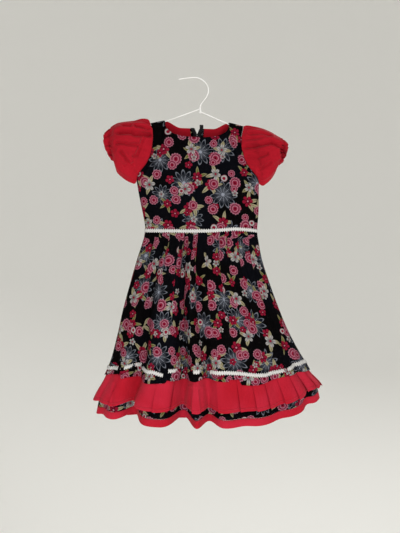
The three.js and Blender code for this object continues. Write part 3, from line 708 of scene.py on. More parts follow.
# %% Node group for one kind of flower
SCATTER, RIM_SOFT = 0.6, (1.02, 0.95)
SIZE_LEAST, SIZE_SPREAD = 0.82, 0.3  # the smallest flower of a kind, and how much larger they get


def flower_group():
    tree = bpy.data.node_groups.new("flower", "ShaderNodeTree")
    face = tree.interface
    face.new_socket("Place", in_out="INPUT", socket_type="NodeSocketVector")
    for name in ("Cell", "Radius", "Petals", "Notch", "Point", "Share", "Tip"):
        face.new_socket(name, in_out="INPUT", socket_type="NodeSocketFloat")
    for name in ("Mask", "Middle", "Rim", "Petal", "Chance", "Turn"):
        face.new_socket(name, in_out="OUTPUT", socket_type="NodeSocketFloat")
    given = tree.nodes.new("NodeGroupInput").outputs
    cells = tree.nodes.new("ShaderNodeTexVoronoi")
    cells.voronoi_dimensions = "2D"
    density = maths(tree, "DIVIDE", 1.0, given["Cell"])
    wire_up(tree, cells, {"Vector": given["Place"], "Scale": density, "Randomness": SCATTER})
    off = vector_maths(tree, "SUBTRACT", given["Place"], cells.outputs["Position"])
    x, y, _ = split(tree, off)
    luck = wire_up(tree, tree.nodes.new("ShaderNodeSeparateColor"), {0: cells.outputs["Color"]}).outputs
    away = maths(tree, "SQRT", plus(tree, times(tree, x, x), times(tree, y, y)))
    turn = plus(tree, maths(tree, "ARCTAN2", y, x), times(tree, luck[0], 2 * math.pi))
    size = times(tree, given["Radius"], maths(tree, "MULTIPLY_ADD", luck[2], SIZE_SPREAD, SIZE_LEAST))
    middle = maths(tree, "DIVIDE", away, size)
    wave = times(tree, turn, times(tree, given["Petals"], 0.5))
    petal = size_of(tree, cosine(tree, wave))
    sharp = minus(tree, 1.0, size_of(tree, sine(tree, wave)))
    petal = maths(tree, "MULTIPLY_ADD", minus(tree, sharp, petal), given["Tip"], petal)
    reach = times(tree, given["Notch"], maths(tree, "POWER", petal, given["Point"]))
    rim = maths(tree, "DIVIDE", middle, plus(tree, minus(tree, 1.0, given["Notch"]), reach))
    there = maths(tree, "LESS_THAN", luck[1], given["Share"])
    wire_up(tree, tree.nodes.new("NodeGroupOutput"), {
        "Mask": times(tree, ramp(tree, rim, *RIM_SOFT), there), "Middle": middle, "Rim": rim,
        "Petal": petal, "Chance": luck[2], "Turn": turn,
    })
    return tree


FLOWER = flower_group()
print("nodes in one kind of flower:", len(FLOWER.nodes))


def flowers(tree, place, offset, cell, radius, petals, notch, point, share, tip=0.0):
    """One kind of flower: cell and radius in mm, and the share of the cells that hold one."""
    node = tree.nodes.new("ShaderNodeGroup")
    node.node_tree = FLOWER
    moved = vector_maths(tree, "ADD", place, (offset, offset * 0.37, 0))
    wire_up(tree, node, {
        "Place": moved, "Cell": cell * MM, "Radius": radius * MM, "Petals": petals, "Notch": notch,
        "Point": point, "Share": share, "Tip": tip,
    })
    return node.outputs


# %% Colours of the print, kind by kind
BLACK, NAVY = (0.0016, 0.0013, 0.0014), (0.002, 0.0022, 0.0036)
SLATE, SLATE_LINE = (0.004, 0.005, 0.008), (0.22, 0.235, 0.28)
OLIVE, OLIVE_DARK, CREAM = (0.12, 0.113, 0.032), (0.035, 0.04, 0.012), (0.25, 0.22, 0.135)
CRIMSON, CRIMSON_DARK = (0.18, 0.006, 0.021), (0.05, 0.002, 0.006)
PINK, PALE_PINK, DEEP_PINK = (0.23, 0.038, 0.076), (0.34, 0.15, 0.19), (0.095, 0.007, 0.02)
WHITE, GREY = (0.29, 0.275, 0.27), (0.11, 0.105, 0.105)


def band(tree, value, low, high, soft):
    """1 between low and high, with soft ends."""
    rise, fall = ramp(tree, value, low - soft, low + soft), ramp(tree, value, high + soft, high - soft)
    return times(tree, rise, fall)


def with_heart(tree, f, colour, bloom, outer, inner, heart):
    """Lays a flower over the colour, with a heart that ends between two shares of its radius."""
    bloom = paint(tree, ramp(tree, f["Middle"], outer, inner), bloom, heart)
    return paint(tree, f["Mask"], colour, bloom)


def line_daisies(tree, place, colour):
    f = flowers(tree, place, 0.71, 86, 31, 11, 0.62, 0.5, 0.8, 0.45)
    outline = times(tree, ramp(tree, f["Rim"], 0.84, 0.93), 0.55)
    gaps = times(tree, ramp(tree, f["Petal"], 0.2, 0.08), ramp(tree, f["Middle"], 0.95, 0.5))
    rays = size_of(tree, sine(tree, times(tree, f["Turn"], 16.5)))
    rays = times(tree, ramp(tree, rays, 0.85, 0.99), ramp(tree, f["Middle"], 0.75, 0.1))
    lines = larger(tree, larger(tree, outline, gaps), rays)
    lines = larger(tree, lines, ramp(tree, f["Middle"], 0.16, 0.08))
    return paint(tree, f["Mask"], colour, paint(tree, lines, SLATE, SLATE_LINE))


def leaves(tree, place, colour, offset, cell, radius, petals, share, tint):
    f = flowers(tree, place, offset, cell, radius, petals, 0.97, 0.66, share, 1.0)
    leaf = paint(tree, ramp(tree, f["Chance"], tint, tint + 0.3), OLIVE, CREAM)
    leaf = paint(tree, ramp(tree, f["Petal"], 0.9, 0.97), leaf, OLIVE_DARK)
    leaf = paint(tree, times(tree, ramp(tree, f["Rim"], 0.72, 0.9), 0.6), leaf, CREAM)
    one_side = ramp(tree, cosine(tree, f["Turn"]), -0.45, -0.35)
    return paint(tree, times(tree, f["Mask"], one_side), colour, leaf)


def crimson_flowers(tree, place, colour, offset, cell, radius, petals, share):
    f = flowers(tree, place, offset, cell, radius, petals, 0.42, 0.5, share)
    bloom = paint(tree, ramp(tree, f["Petal"], 0.55, 0.15), CRIMSON, CRIMSON_DARK)
    bloom = paint(tree, band(tree, f["Middle"], 0.2, 0.34, 0.05), bloom, CRIMSON_DARK)
    return with_heart(tree, f, colour, bloom, 0.2, 0.1, PALE_PINK)


def chrysanthemums(tree, place, colour, offset, cell, radius, petals, share):
    f = flowers(tree, place, offset, cell, radius, petals, 0.22, 0.6, share)
    bloom = paint(tree, ramp(tree, f["Petal"], 0.25, 0.75), DEEP_PINK, PINK)
    bloom = paint(tree, times(tree, ramp(tree, f["Rim"], 0.78, 0.92), 0.8), bloom, PALE_PINK)
    bloom = paint(tree, band(tree, f["Middle"], 0.4, 0.5, 0.04), bloom, PALE_PINK)
    bloom = paint(tree, band(tree, f["Middle"], 0.6, 0.7, 0.03), bloom, DEEP_PINK)
    bloom = paint(tree, ramp(tree, f["Middle"], 0.34, 0.26), bloom, CRIMSON)
    return with_heart(tree, f, colour, bloom, 0.14, 0.08, BLACK)


def white_flowers(tree, place, colour, offset, cell, radius, share):
    f = flowers(tree, place, offset, cell, radius, 5, 0.86, 0.55, share)
    bloom = paint(tree, ramp(tree, f["Middle"], 0.75, 0.2), WHITE, GREY)
    bloom = paint(tree, ramp(tree, f["Petal"], 0.985, 1.0), bloom, GREY)
    return with_heart(tree, f, colour, bloom, 0.24, 0.16, CRIMSON)


def eye_buds(tree, place, colour):
    f = flowers(tree, place, 4.9, 108, 8, 8, 0.06, 1, 0.9)
    bud = paint(tree, ramp(tree, f["Middle"], 0.88, 0.78), DEEP_PINK, WHITE)
    return with_heart(tree, f, colour, bud, 0.5, 0.4, CRIMSON)


# %% The whole print
WOBBLE = (0.004, 0.004, 0)


def print_colour(tree, place):
    wobble = vector_maths(tree, "SUBTRACT", noise(tree, place, 60, 1, "Color"), (0.5, 0.5, 0.5))
    place = vector_maths(tree, "MULTIPLY_ADD", wobble, WOBBLE, place)
    colour = paint(tree, ramp(tree, noise(tree, place, 5), 0.45, 0.6), BLACK, NAVY)
    colour = line_daisies(tree, place, colour)
    # A kind and its leaves share an offset and a cell, so that the leaves grow from under the flower.
    colour = leaves(tree, place, colour, 2.2, 58, 27, 5, 0.9, 0.5)
    colour = crimson_flowers(tree, place, colour, 2.2, 58, 12.5, 6, 0.92)
    colour = crimson_flowers(tree, place, colour, 6.4, 62, 10, 5, 0.85)
    colour = leaves(tree, place, colour, 7.5, 82, 24, 4, 0.85, 0.05)
    colour = chrysanthemums(tree, place, colour, 3.7, 54, 13.5, 13, 0.93)
    colour = chrysanthemums(tree, place, colour, 5.8, 66, 11, 10, 0.85)
    colour = white_flowers(tree, place, colour, 7.5, 82, 13.5, 0.8)
    colour = white_flowers(tree, place, colour, 9.1, 84, 8, 0.85)
    return eye_buds(tree, place, colour)


FLOWERED = cotton("flowered_cotton", print_colour, shine=0.02, sheen=0.0)
print("nodes in the print:", len(FLOWERED.node_tree.nodes))

# %% [markdown]
# ## Bodice
#
# The bodice is a front and two backs, joined at the shoulders and the sides. Cut from one print, no
# two panels show the same part of it, so each has its own shift on the cloth.

# %% Bodice panels
HALF = spaced((0, NECK_SHARE, 56), (NECK_SHARE, 1, 14))
DOWN = spaced((0, 0.1, 10), (0.1, 1, 50), (1, 2, 40))


def bodice_front():
    whole = np.concatenate([-HALF[:0:-1], HALF])
    points = over(lambda s, down: bodice_spot(FRONT, s, down), whole, DOWN)
    cloth("bodice_front", points, -1, FLOWERED, shift=(0.27, 0.2))


def bodice_back(way, name, shift):
    def place(s, down):
        level = lerp(top_edge(BACK, top_width(s)), UNDERARM_Z, np.minimum(down, 1))
        return bodice_spot(BACK, way * np.maximum(s, 1e-6), down, back_gap(level))

    points = over(place, HALF, DOWN)
    cloth(name, points, way, FLOWERED, shift=shift)


bodice_front()
bodice_back(-1, "bodice_back_left", (0.8, 0.1))
bodice_back(1, "bodice_back_right", (1.9, 0.3))

# %% [markdown]
# ## Neck facing
#
# Inside the back neck lies a facing of the red cotton, in two halves that part at the zip. It is the
# red that shows through the neck from in front.

# %% Neck facing
FACING_DEEP, FACING_THICK = 0.34, 0.8
FACING_FROM, FACING_TO = (0.12, 0.085), NECK_SHARE * 0.9  # beside the zip, and at the shoulder


def neck_facing(way, name):
    def place(share, down):
        s = way * lerp(lerp(*FACING_FROM, down), FACING_TO, share)
        return yoke_spot(BACK, s, np.maximum(down * FACING_DEEP, 0.002), -(CLOTH + 2 * LIE))

    points = over(place, steps(0, 1, 50), steps(0, 1, 24))
    cloth(name, points, way, RED_COTTON, thick=FACING_THICK)


neck_facing(-1, "neck_facing_left")
neck_facing(1, "neck_facing_right")

# %% [markdown]
# ## Puffed sleeves
#
# A puffed sleeve is a wide piece, gathered into the armhole and drawn in by elastic near its hem, so
# that a narrow frill stands out past the elastic. It is made here from nine loops round the arm, the
# first of them the armhole, with a smooth skin over them. Small puckers run off the elastic and the
# armhole, and the larger creases follow the photograph.

# %% Loops of the sleeves
SLEEVE_ROW = "top_x top_z low_x low_z deep bulge ripple"
SLEEVE_LEFT = table(SLEEVE_ROW, [
    (119, -105.5, 153, -254, 20, 0, 1.6), (133, -104, 160, -252.5, 28, 0, 2),
    (152, -109, 170, -249, 35, 0, 1.4), (173, -111.5, 182, -241, 38, 2, 1),
    (191, -116, 193, -230, 34, 3, 1.4), (202, -123.5, 198, -214, 26, 4, 2),
    (208, -130, 200, -204, 21, 5, 2.2), (222, -143, 208, -200, 26, 6, 3),
])
SLEEVE_RIGHT = table(SLEEVE_ROW, [
    (123, -112.5, 156, -253, 20, 0, 1.6), (138, -114, 162, -250, 28, 0, 2),
    (156, -117, 170, -244.5, 33, 0, 1.4), (175, -124, 179, -235, 35, 2, 1),
    (191, -133, 187, -221, 31, 3, 1.4), (201, -139.5, 192, -208, 26, 4, 2),
    (206, -143.5, 195, -203, 21, 5, 2.2), (216, -152, 203, -196, 25, 5, 3),
])
SLEEVE_GAP, SLEEVE_RIPPLES = 0.7, 10


def armhole_loop(way, angle):
    down, sin = (1 - np.cos(angle)) / 2, np.sin(angle)
    x = read(ARMHOLE, down, "half") + SLEEVE_GAP
    z = lerp(top_edge(FRONT, ARMHOLE["half"][0]), UNDERARM_Z, down)
    return hang(joined(way * x, -np.sign(sin) * SEAM / 2 - ARMHOLE_DEPTH * sin, z))


def arm_loop(way, row, angle):
    cos, sin = np.cos(angle), np.sin(angle)
    top_x, top_z, low_x, low_z, deep, bulge, ripple = row
    wave = ripple * np.cos(angle * SLEEVE_RIPPLES)
    reach = cos * (1 + wave / ((top_z - low_z) / 2))
    x = lerp(low_x, top_x, (1 + reach) / 2) + bulge * sin * sin
    return hang(joined(way * x, -(deep + wave) * sin, lerp(low_z, top_z, (1 + reach) / 2)))


def skin(loops, count):
    """Rows along smooth curves through the loops, and where each row lies among them."""
    at = np.linspace(0, len(loops) - 1, count)
    slope = np.gradient(loops, axis=0)
    i = np.minimum(at.astype(int), len(loops) - 2)
    t = (at - i)[:, None, None]
    line = lerp(loops[i], loops[i + 1], t * t * (3 - 2 * t))
    return line + t * (1 - t) * ((1 - t) * slope[i] - t * slope[i + 1]), at


# %% Sleeve sheets with puckers and creases
# Rows of loops from the armhole: where the puckers are, how far they reach, how narrow the dip is.
ELASTIC_ROW, ELASTIC_REACH, ELASTIC_NARROW = 7, 0.9, 0.16
ARMHOLE_ROW, ARMHOLE_REACH, ARMHOLE_EASE = 0.7, 0.8, 0.6
# Height in mm, number round the arm and start of the puckers at the elastic and at the armhole.
ELASTIC_PUCKERS, ARMHOLE_PUCKERS, ELASTIC_DIP = [(1.1, 29, 0), (0.7, 21, 1)], [(1.3, 24, 0.6)], 1.6
# The measured creases: depth and width in mm, and the route as (x, z) seen from in front.
SLEEVE_CREASES = {
    -1: [
        (4.6, 3.2, [(-173, -118), (-156, -118.6)]),
        (5, 3.4, [(-144, -118), (-130, -120), (-114, -125)]),
        (8, 5.5, [(-182, -135), (-154, -133.5), (-144, -138.5), (-112, -137.5)]),
        (5.6, 3.8, [(-187, -160), (-169, -160), (-161, -163.2), (-139, -163.2)]),
        (6.4, 3.8, [(-178, -180), (-161, -205)]),
        (4, 3.6, [(-126, -148), (-133, -167), (-140, -186), (-147, -190)]),
        (3.6, 3.4, [(-168, -212), (-150, -209)]),
    ],
    1: [
        (8.5, 5, [(118, -168), (150, -165), (178, -158), (205, -169), (207, -189)]),
        (4.2, 3.8, [(128, -136), (156, -134), (176, -141)]),
        (3.6, 3.8, [(122, -190), (146, -193), (168, -186)]),
        (3.6, 3.4, [(150, -222), (176, -208)]),
    ],
}


def puckers(rows, angle):
    return sum(high * np.sin(angle * count + start) for high, count, start in rows)[:, None]


def sleeve(way, rows, name, shift):
    angle = steps(0, 2 * math.pi, 240)[:-1]
    loops = [armhole_loop(way, angle)]
    loops += [arm_loop(way, row, angle) for row in zip(*rows.values())]
    points, at = skin(np.array(loops), 88)
    points = np.moveaxis(points, 0, 1)
    from_elastic = at - ELASTIC_ROW
    near_elastic = np.exp(-((from_elastic / ELASTIC_REACH) ** 2))
    near_armhole = np.exp(-((at - ARMHOLE_ROW) ** 2) / ARMHOLE_REACH) * smooth(at / ARMHOLE_EASE)
    dip = ELASTIC_DIP * np.exp(-((from_elastic / ELASTIC_NARROW) ** 2))
    high = puckers(ELASTIC_PUCKERS, angle) * near_elastic - dip
    high = high + puckers(ARMHOLE_PUCKERS, angle) * near_armhole
    points = points + normals_of(points, way, True) * high[..., None]
    points = creased(points, way, SLEEVE_CREASES[way], True)
    cloth(name, points, way, SLEEVE_COTTON, around=True, shift=shift)


sleeve(-1, SLEEVE_LEFT, "sleeve_left", (0, 0))
sleeve(1, SLEEVE_RIGHT, "sleeve_right", (3, 1))

# %% [markdown]
# ## Skirt
#
# The skirt hangs from the waist seam. Its lower edge lies over the red ruffle and is caught up
# unevenly, so it steps up and down.

# %% Stepped edge and puckers
# How far the edge hangs below its even level in mm, at shares s across the front.
EDGE_DROPS = [
    (-1, -2), (-0.86, -3), (-0.67, -11), (-0.635, -7), (-0.615, 0), (-0.565, -3.5), (-0.41, 6.5),
    (-0.262, 2), (-0.25, -4.5), (-0.185, 3), (-0.11, 0), (-0.045, -6), (0.015, -4), (0.08, -2.8),
    (0.125, -2.4), (0.137, -7), (0.193, -6), (0.205, 7.7), (0.31, 8.4), (0.365, 5.4), (0.505, -2.8),
    (0.72, -3), (1, 0),
]
# Where the cloth is caught up in a pucker over the braid: middle and half width, as shares s.
PUCKERS = [
    (-0.658, 0.036), (-0.551, 0.014), (-0.495, 0.012), (-0.268, 0.017), (-0.15, 0.058), (-0.017, 0.034),
    (0.559, 0.026),
]
CATCH_Z, PUCKER_HIGH, PUCKER_TALL, PUCKER_WAVES = -700, 4.6, 15, 260
SMOCK_HIGH, SMOCK_WAVES, EDGE_FROM_Z = 0.9, 118, -672


def edge_drop(s, z):
    share = smooth((EDGE_FROM_Z - z) / (EDGE_FROM_Z - SKIRT_Z))
    return np.interp(s, *zip(*EDGE_DROPS)) * share


def puckered(points, s, z):
    """Lifts the cloth in puckers, with fine gathers all along the line where it is caught up."""
    near = np.exp(-(((z - CATCH_Z) / PUCKER_TALL) ** 2))
    high = SMOCK_HIGH * np.sin(s * SMOCK_WAVES) * smooth((1 - abs(s)) / 0.05)
    for middle, half in PUCKERS:
        ripple = 1 + 0.25 * np.sin(s * PUCKER_WAVES)
        high = high + PUCKER_HIGH * np.exp(-(((s - middle) / half) ** 4)) * ripple
    return points + normals_of(points, FRONT) * (near * high)[..., None]


# %% Skirt panels
SKIRT_TOP = WAIST_Z - SEAM / 2
SKIRT_DOWN = spaced((SKIRT_TOP, -440, 36), (-440, -670, 32), (-670, SKIRT_Z, 30))
FRONT_ACROSS = spaced((-1, -0.7, 45), (-0.7, 0.1, 210), (0.1, 1, 160))


def skirt_front():
    points = over(lambda s, z: body_spot(FRONT, s, z - edge_drop(s, z)), FRONT_ACROSS, SKIRT_DOWN)
    s, z = FRONT_ACROSS[:, None], SKIRT_DOWN[None]
    cloth("skirt_front", puckered(points, s, z), -1, FLOWERED,
          shift=(0.4 + hidden_cloth(FRONT, s, z), 1.3))


def skirt_back(way, name, shift):
    def place(s, z):
        return body_spot(BACK, way * np.maximum(s, 1e-6), z, 0, back_gap(z))

    across = steps(0, 1, 170)
    points = over(place, across, SKIRT_DOWN)
    moved = way * hidden_cloth(BACK, way * across[:, None], SKIRT_DOWN[None])
    cloth(name, points, way, FLOWERED,
          shift=(shift[0] + moved, shift[1]))


skirt_front()
skirt_back(-1, "skirt_back_left", (1.1, 1.7))
skirt_back(1, "skirt_back_right", (2.3, 1.2))

# %% [markdown]
# ## Ruffle, under tier and hem
#
# The red ruffle is laid in knife pleats, each pressed to one side: high along its fold and falling to
# the next. Under it a flowered tier shows, and a band of the red cotton finishes the hem.

# %% Pleats of the ruffle
PLEATS = {
    FRONT: np.array([
        -0.93, -0.78, -0.64, -0.44, -0.31, -0.2, -0.08, 0.06,
        0.185, 0.28, 0.365, 0.47, 0.58, 0.69, 0.8, 0.91,
    ]),
    BACK: steps(-1, 1, 17)[1:-1],
}
PLEAT_TOP, PLEAT_HEM, PLEAT_EDGE, PLEAT_UNDER, PLEAT_DROP = 1.8, 8, 0.0045, 0.007, 1.4
# On the right, in front, the ruffle is drawn up a little: middle and half width as shares s, and mm.
DRAWN_UP = (0.76, 0.17, 5)
RUFFLE_OUT, RUFFLE_FLARE, RUFFLE_HIDDEN, TIER_OUT = (-3.7, 7), 0.9, 2, (-7.4, -3.8)

# Both sides of the narrow wedge in front, where the ruffle folds in: depth, width and route in mm.
RUFFLE_CREASES = {
    FRONT: [
        (2.6, 3, [(-10, -736), (-16, -790)]), (2.6, 3, [(10, -736), (15, -790)]),
        (1.6, 3, [(-192, -730), (-196, -780)]),
    ],
    BACK: [],
}


def pleat_share(edges, s):
    """0 at a fold, rising to 1 at the next."""
    i = np.searchsorted(edges, s, side="right")
    ends = np.concatenate([[-1], edges, [1]])
    return np.clip((s - ends[i]) / (ends[i + 1] - ends[i]), 0, 1)


def tucked(edges, s):
    """Moves the two sides of each fold past each other, so that a pleat lies over the one before it."""
    away = s - edges[np.argmin(abs(s[..., None] - edges), axis=-1)]
    return np.where(abs(away) < 1.2 * PLEAT_EDGE, s - away - np.sign(away) * PLEAT_UNDER, s)


def ruffle(side, name):
    edges = PLEATS[side]
    sharp = np.concatenate([edges - PLEAT_EDGE, edges + PLEAT_EDGE])
    between = steps(-1, 1, 300)
    clear = np.min(abs(between[:, None] - edges), axis=1) > 1.2 * PLEAT_UNDER
    across = np.sort(np.concatenate([sharp, between[clear]]))
    seam_share = (TIER_TOP_Z - SKIRT_Z + RUFFLE_HIDDEN) / (TIER_TOP_Z - RUFFLE_Z)

    def place(s, down):
        fall = np.clip((down - seam_share) / (1 - seam_share), 0, 1)
        high = (1 - pleat_share(edges, s)) * (1 - abs(s) ** SIDE_CALM)
        out = lerp(*RUFFLE_OUT, smooth(fall * RUFFLE_FLARE)) + lerp(PLEAT_TOP, PLEAT_HEM, fall) * high
        middle, half, most = DRAWN_UP
        drawn = most * np.exp(-(((s - middle) / half) ** 2)) if side == FRONT else 0
        z = lerp(TIER_TOP_Z, RUFFLE_Z, down) + fall * (drawn - PLEAT_DROP * high)
        return layer_spot(side, tucked(edges, s), z, out)

    points = creased(over(place, across, steps(0, 1, 40)), side, RUFFLE_CREASES[side])
    cloth(name, points, side, RUFFLE_COTTON, sharp=40)


ruffle(FRONT, "ruffle_front")
ruffle(BACK, "ruffle_back")

# %% Under tier and hem band
def tier(side, name, high, low, material, rows, shift=(0, 0)):
    def place(s, z):
        fall = np.clip((SKIRT_Z - z) / (SKIRT_Z - HEM_Z), 0, 1)
        return layer_spot(side, s, z, lerp(*TIER_OUT, fall))

    across = FRONT_ACROSS if side == FRONT else steps(-1, 1, 240)
    points = over(place, across, steps(high, low, rows))
    cloth(name, points, side, material, shift=shift)


for side, end in ((FRONT, "front"), (BACK, "back")):
    tier(side, f"under_tier_{end}", TIER_TOP_Z, BAND_Z + SEAM / 2, FLOWERED, 30, (1.7, 2.2 + side))
    tier(side, f"hem_band_{end}", BAND_Z - SEAM / 2, HEM_Z, BAND_COTTON, 8)

# %% [markdown]
# ## White braid
#
# A crocheted white braid covers the waist seam, and another lies above the ruffle. Each is a row of
# small loops. It could be a flat strip with a bumpy material, but its looped outline shows against
# the black print, so the loops are part of the mesh, and the material adds the threads.

# %% Braid
BRAID_WAIST, BRAID_LOWER = (-361.5, -371.5), (-694.5, -705)
LOOP_LONG, LOOP_HIGH, BRAID_THICK = 5.4, 2.8, 0.6
BRAID_LIFT, BRAID_ROUND, BRAID_FLAT = 0.3, 1.1, 0.25  # the last is the share left between two loops
BRAID_ROW, TWIST = 0.0016, 0.0014  # in metres, for the material
# Darker white in the grooves of the twist, lighter on its ridges: painted shade.
BRAID_SHADE_AND_WHITE = (0.56, 0.55, 0.535), (0.88, 0.87, 0.85)
BRAID_ROWS = np.array([-1.0, -0.84, -0.5, 0.0, 0.5, 0.84, 1.0])
# How far the braid hangs below its even level in mm, at shares s across the front.
WAIST_DROPS = [(-1, 0), (-0.55, 1), (-0.14, 2.2), (0.11, 1.4), (0.4, -3.6), (0.58, -2.2), (1, 1.8)]
LOWER_DROPS = [
    (-1, -1), (-0.851, 0.5), (-0.7, -3.3), (-0.62, -6), (-0.565, -11), (-0.536, -12), (-0.507, -10),
    (-0.48, 0), (-0.356, -1), (-0.285, 5), (-0.251, -5), (-0.209, -4.2), (-0.053, -4.5), (0.0, 6),
    (0.029, -1), (0.114, -2.2), (0.219, 2.3), (0.306, 6.2), (0.384, 9), (0.533, 2.5), (0.585, 2.2),
    (0.81, -4.9), (1, -3),
]


def braid_material():
    """Twisted cotton thread: slanted ridges that change their slant at the middle of each row, with
    painted shade in the grooves between them.
    """
    material, tree, shader = new_material("white_braid", 0.9, 0.15)
    along, up, _ = split(tree, uv_place(tree))
    slant = plus(tree, along, maths(tree, "PINGPONG", up, BRAID_ROW))
    twist = ramp(tree, sine(tree, times(tree, slant, 2 * math.pi / TWIST)), -1, 1)
    # The colour follows the twist's height: painted shade in its grooves.
    wire_up(tree, shader, {
        "Base Color": paint(tree, twist, *BRAID_SHADE_AND_WHITE), "Normal": bumped(tree, twist, 0.0005, 0.9),
    })
    return material


WHITE_BRAID = braid_material()


def braid(side, name, span, levels, drops, gap=0.0, wide=800):
    """A strip with a looped outline that lies on the dress between two levels."""
    high, low = levels
    middle, half = (high + low) / 2, (high - low) / 2
    s = np.linspace(*span, wide)
    drop = np.interp(s, *zip(*drops)) if side == FRONT else 0 * s
    line = hang(body_spot(side, s, middle - drop, 0, gap, False))
    along = lengths(line[:, None], 0)
    scallop = abs(np.sin(along * math.pi / LOOP_LONG))
    level = middle - drop[:, None] - BRAID_ROWS * (half - LOOP_HIGH * (1 - scallop))
    base = hang(body_spot(side, s[:, None] + 0 * level, level, 0, gap, False))
    round_loop = (1 - BRAID_ROWS**4) * (BRAID_FLAT + (1 - BRAID_FLAT) * scallop)
    relief = LIE + BRAID_LIFT + BRAID_ROUND * round_loop
    points = base + normals_of(base, side) * relief[..., None]
    mesh = grid_mesh(f"{name}_trim", points, side)
    thicken(add_piece(mesh.name, mesh, WHITE_BRAID, [name]), BRAID_THICK)
    print(f"{name}: {along[-1, 0]:.0f} mm of braid")


braid(FRONT, "waist_braid_front", (-1, 1), BRAID_WAIST, WAIST_DROPS)
for end, span in (("left", (-1, -1e-6)), ("right", (1e-6, 1))):
    braid(BACK, f"waist_braid_back_{end}", span, BRAID_WAIST, WAIST_DROPS, ZIP_HALF, 420)
braid(FRONT, "skirt_braid_front", (-1, 1), BRAID_LOWER, LOWER_DROPS, 0, 1500)
braid(BACK, "skirt_braid_back", (-1, 1), BRAID_LOWER, LOWER_DROPS, 0, 1300)

# %% [markdown]
# ## Zip
#
# The back closes with a zip: two woven black tapes with a row of moulded teeth each. The slider is
# below the open V at the neck, so the teeth mesh under it and stand apart above it. The teeth could be
# a bump on the tape, but each is a small block here, because the zip is a thing people look at
# closely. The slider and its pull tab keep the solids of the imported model.

# %% Zip tapes
RIB, TAPE_THICK, TAPE_ABOVE = 0.0007, 0.7, {-1: 1, 1: 9}
# A deeper black in the hollows of the weave: painted shade.
TAPE_SHADE_AND_BLACK = (0.004, 0.004, 0.005), (0.014, 0.014, 0.016)


def zip_middle(z):
    """How far from the middle a tape begins; the open V parts the two."""
    return np.maximum(back_gap(z) - ZIP_HALF, 0) + SEAM


def tape_material():
    """A coarser weave than the cotton's, black, with painted shade in the hollows of the weave."""
    material, tree, shader = new_material("black_tape", 0.8, 0.12)
    weave = woven_height(tree, uv_place(tree), RIB)
    # The colour follows the weave's height: painted shade in its hollows.
    colour = paint(tree, ramp(tree, weave, -1, 1), *TAPE_SHADE_AND_BLACK)
    wire_up(tree, shader, {"Base Color": colour, "Normal": bumped(tree, weave, 0.0002, 0.7)})
    return material


BLACK_TAPE = tape_material()


def zip_tape(way, name):
    z = steps(BACK_TOP + TAPE_ABOVE[way], ZIP_END_Z, 150)
    share = steps(0, 1, 4)[:, None]
    x = way * (zip_middle(z) + share * TAPE_WIDE)
    points = hang(joined(x, back_middle(z)[:, 1] - CLOTH - LIE, z))
    mesh = grid_mesh(f"{name}_woven", points, way)
    thicken(add_piece(mesh.name, mesh, BLACK_TAPE, [name]), TAPE_THICK)
    print(f"{name}: {z[0] - z[-1]:.0f} mm long")


zip_tape(-1, "zip_tape_left")
zip_tape(1, "zip_tape_right")

# %% Teeth
PITCH, TOOTH = 2.6, (2.4, 1.6, 1.15)
SLIDER_SPAN = (-148, -135)


def coated(name, colours, roughness, scale):
    """A painted or moulded surface, uneven in colour and gloss, with a very fine bump."""
    low, high = roughness
    material, tree, shader = new_material(name, low)
    place = tree.nodes.new("ShaderNodeTexCoord").outputs["Object"]
    patch = ramp(tree, noise(tree, place, scale, 3), 0.35, 0.65)
    wire_up(tree, shader, {
        "Base Color": paint(tree, patch, *colours),
        "Roughness": maths(tree, "MULTIPLY_ADD", patch, high - low, low),
        "Normal": bumped(tree, noise(tree, place, scale * 9), 0.00015, 0.5),
    })
    return material


BLACK_NYLON = coated("black_nylon", ((0.008, 0.008, 0.009), (0.016, 0.016, 0.018)), (0.35, 0.5), 220)


def zip_teeth(way, name):
    """One small block for each tooth, on the edge of its tape; the two rows mesh where they meet."""
    z = np.arange(BACK_TOP - 2 - (way > 0) * PITCH / 2, ZIP_END_Z + 3, -PITCH)
    z = z[(z < SLIDER_SPAN[0]) | (z > SLIDER_SPAN[1])]
    y = back_middle(z)[:, 1] - CLOTH - LIE + TOOTH[1] / 2
    centres = hang(joined(way * (zip_middle(z) + 0.4), y, z))
    corner = np.array([(a, b, c) for a in (-1, 1) for b in (-1, 1) for c in (-1, 1)]) / 2
    points = (centres[:, None] + corner * TOOTH).reshape(-1, 3) * MM
    sides = [(0, 1, 3, 2), (4, 6, 7, 5), (0, 4, 5, 1), (2, 3, 7, 6), (0, 2, 6, 4), (1, 5, 7, 3)]
    faces = [tuple(8 * k + c for c in side) for k in range(len(z)) for side in sides]
    mesh = bpy.data.meshes.new(name)
    mesh.from_pydata(points.tolist(), [], faces)
    add_piece(name, mesh, BLACK_NYLON)
    print(f"{name}: {len(z)} teeth")


zip_teeth(-1, "zip_teeth_left")
zip_teeth(1, "zip_teeth_right")

# %% [markdown]
# ## Wire hanger
#
# The hanger is one steel wire with a thin white coat, bent into a triangle, with its end wound round
# the foot of the hook. The solids have its route; here the same route is swept with more points and a
# rounder section, and the winding is a helix. A curve object with a bevel would do as well, but a mesh
# keeps all the pieces alike.

# %% Wire
WIRE, ROUND_END, END_WIDE = 1.2, 0.5, 0.35  # radius, and a rounded end's length and width to it
HOOK = [
    (-41, -3.2), (-27, -0.6), (-12, 1), (0, 1.2), (9, -1), (18, -6.5), (25.5, -14.5), (29.3, -25),
    (28.8, -36), (24.5, -46.5), (17.5, -55.5), (12, -63), (9.8, -72), (9.5, -84),
]
CORNER = [(0, 0), (2.6, -1), (4.6, -3.4), (6, -6.6), (4.6, -10.2), (1, -12), (0, -12)]
COIL_X, COIL_HIGH, COIL_LOW, COIL_RADIUS, COIL_WIRE = 9.5, -67, -84, 2.1, 1.05
COIL_TURNS, COIL_POINTS = 5, 160


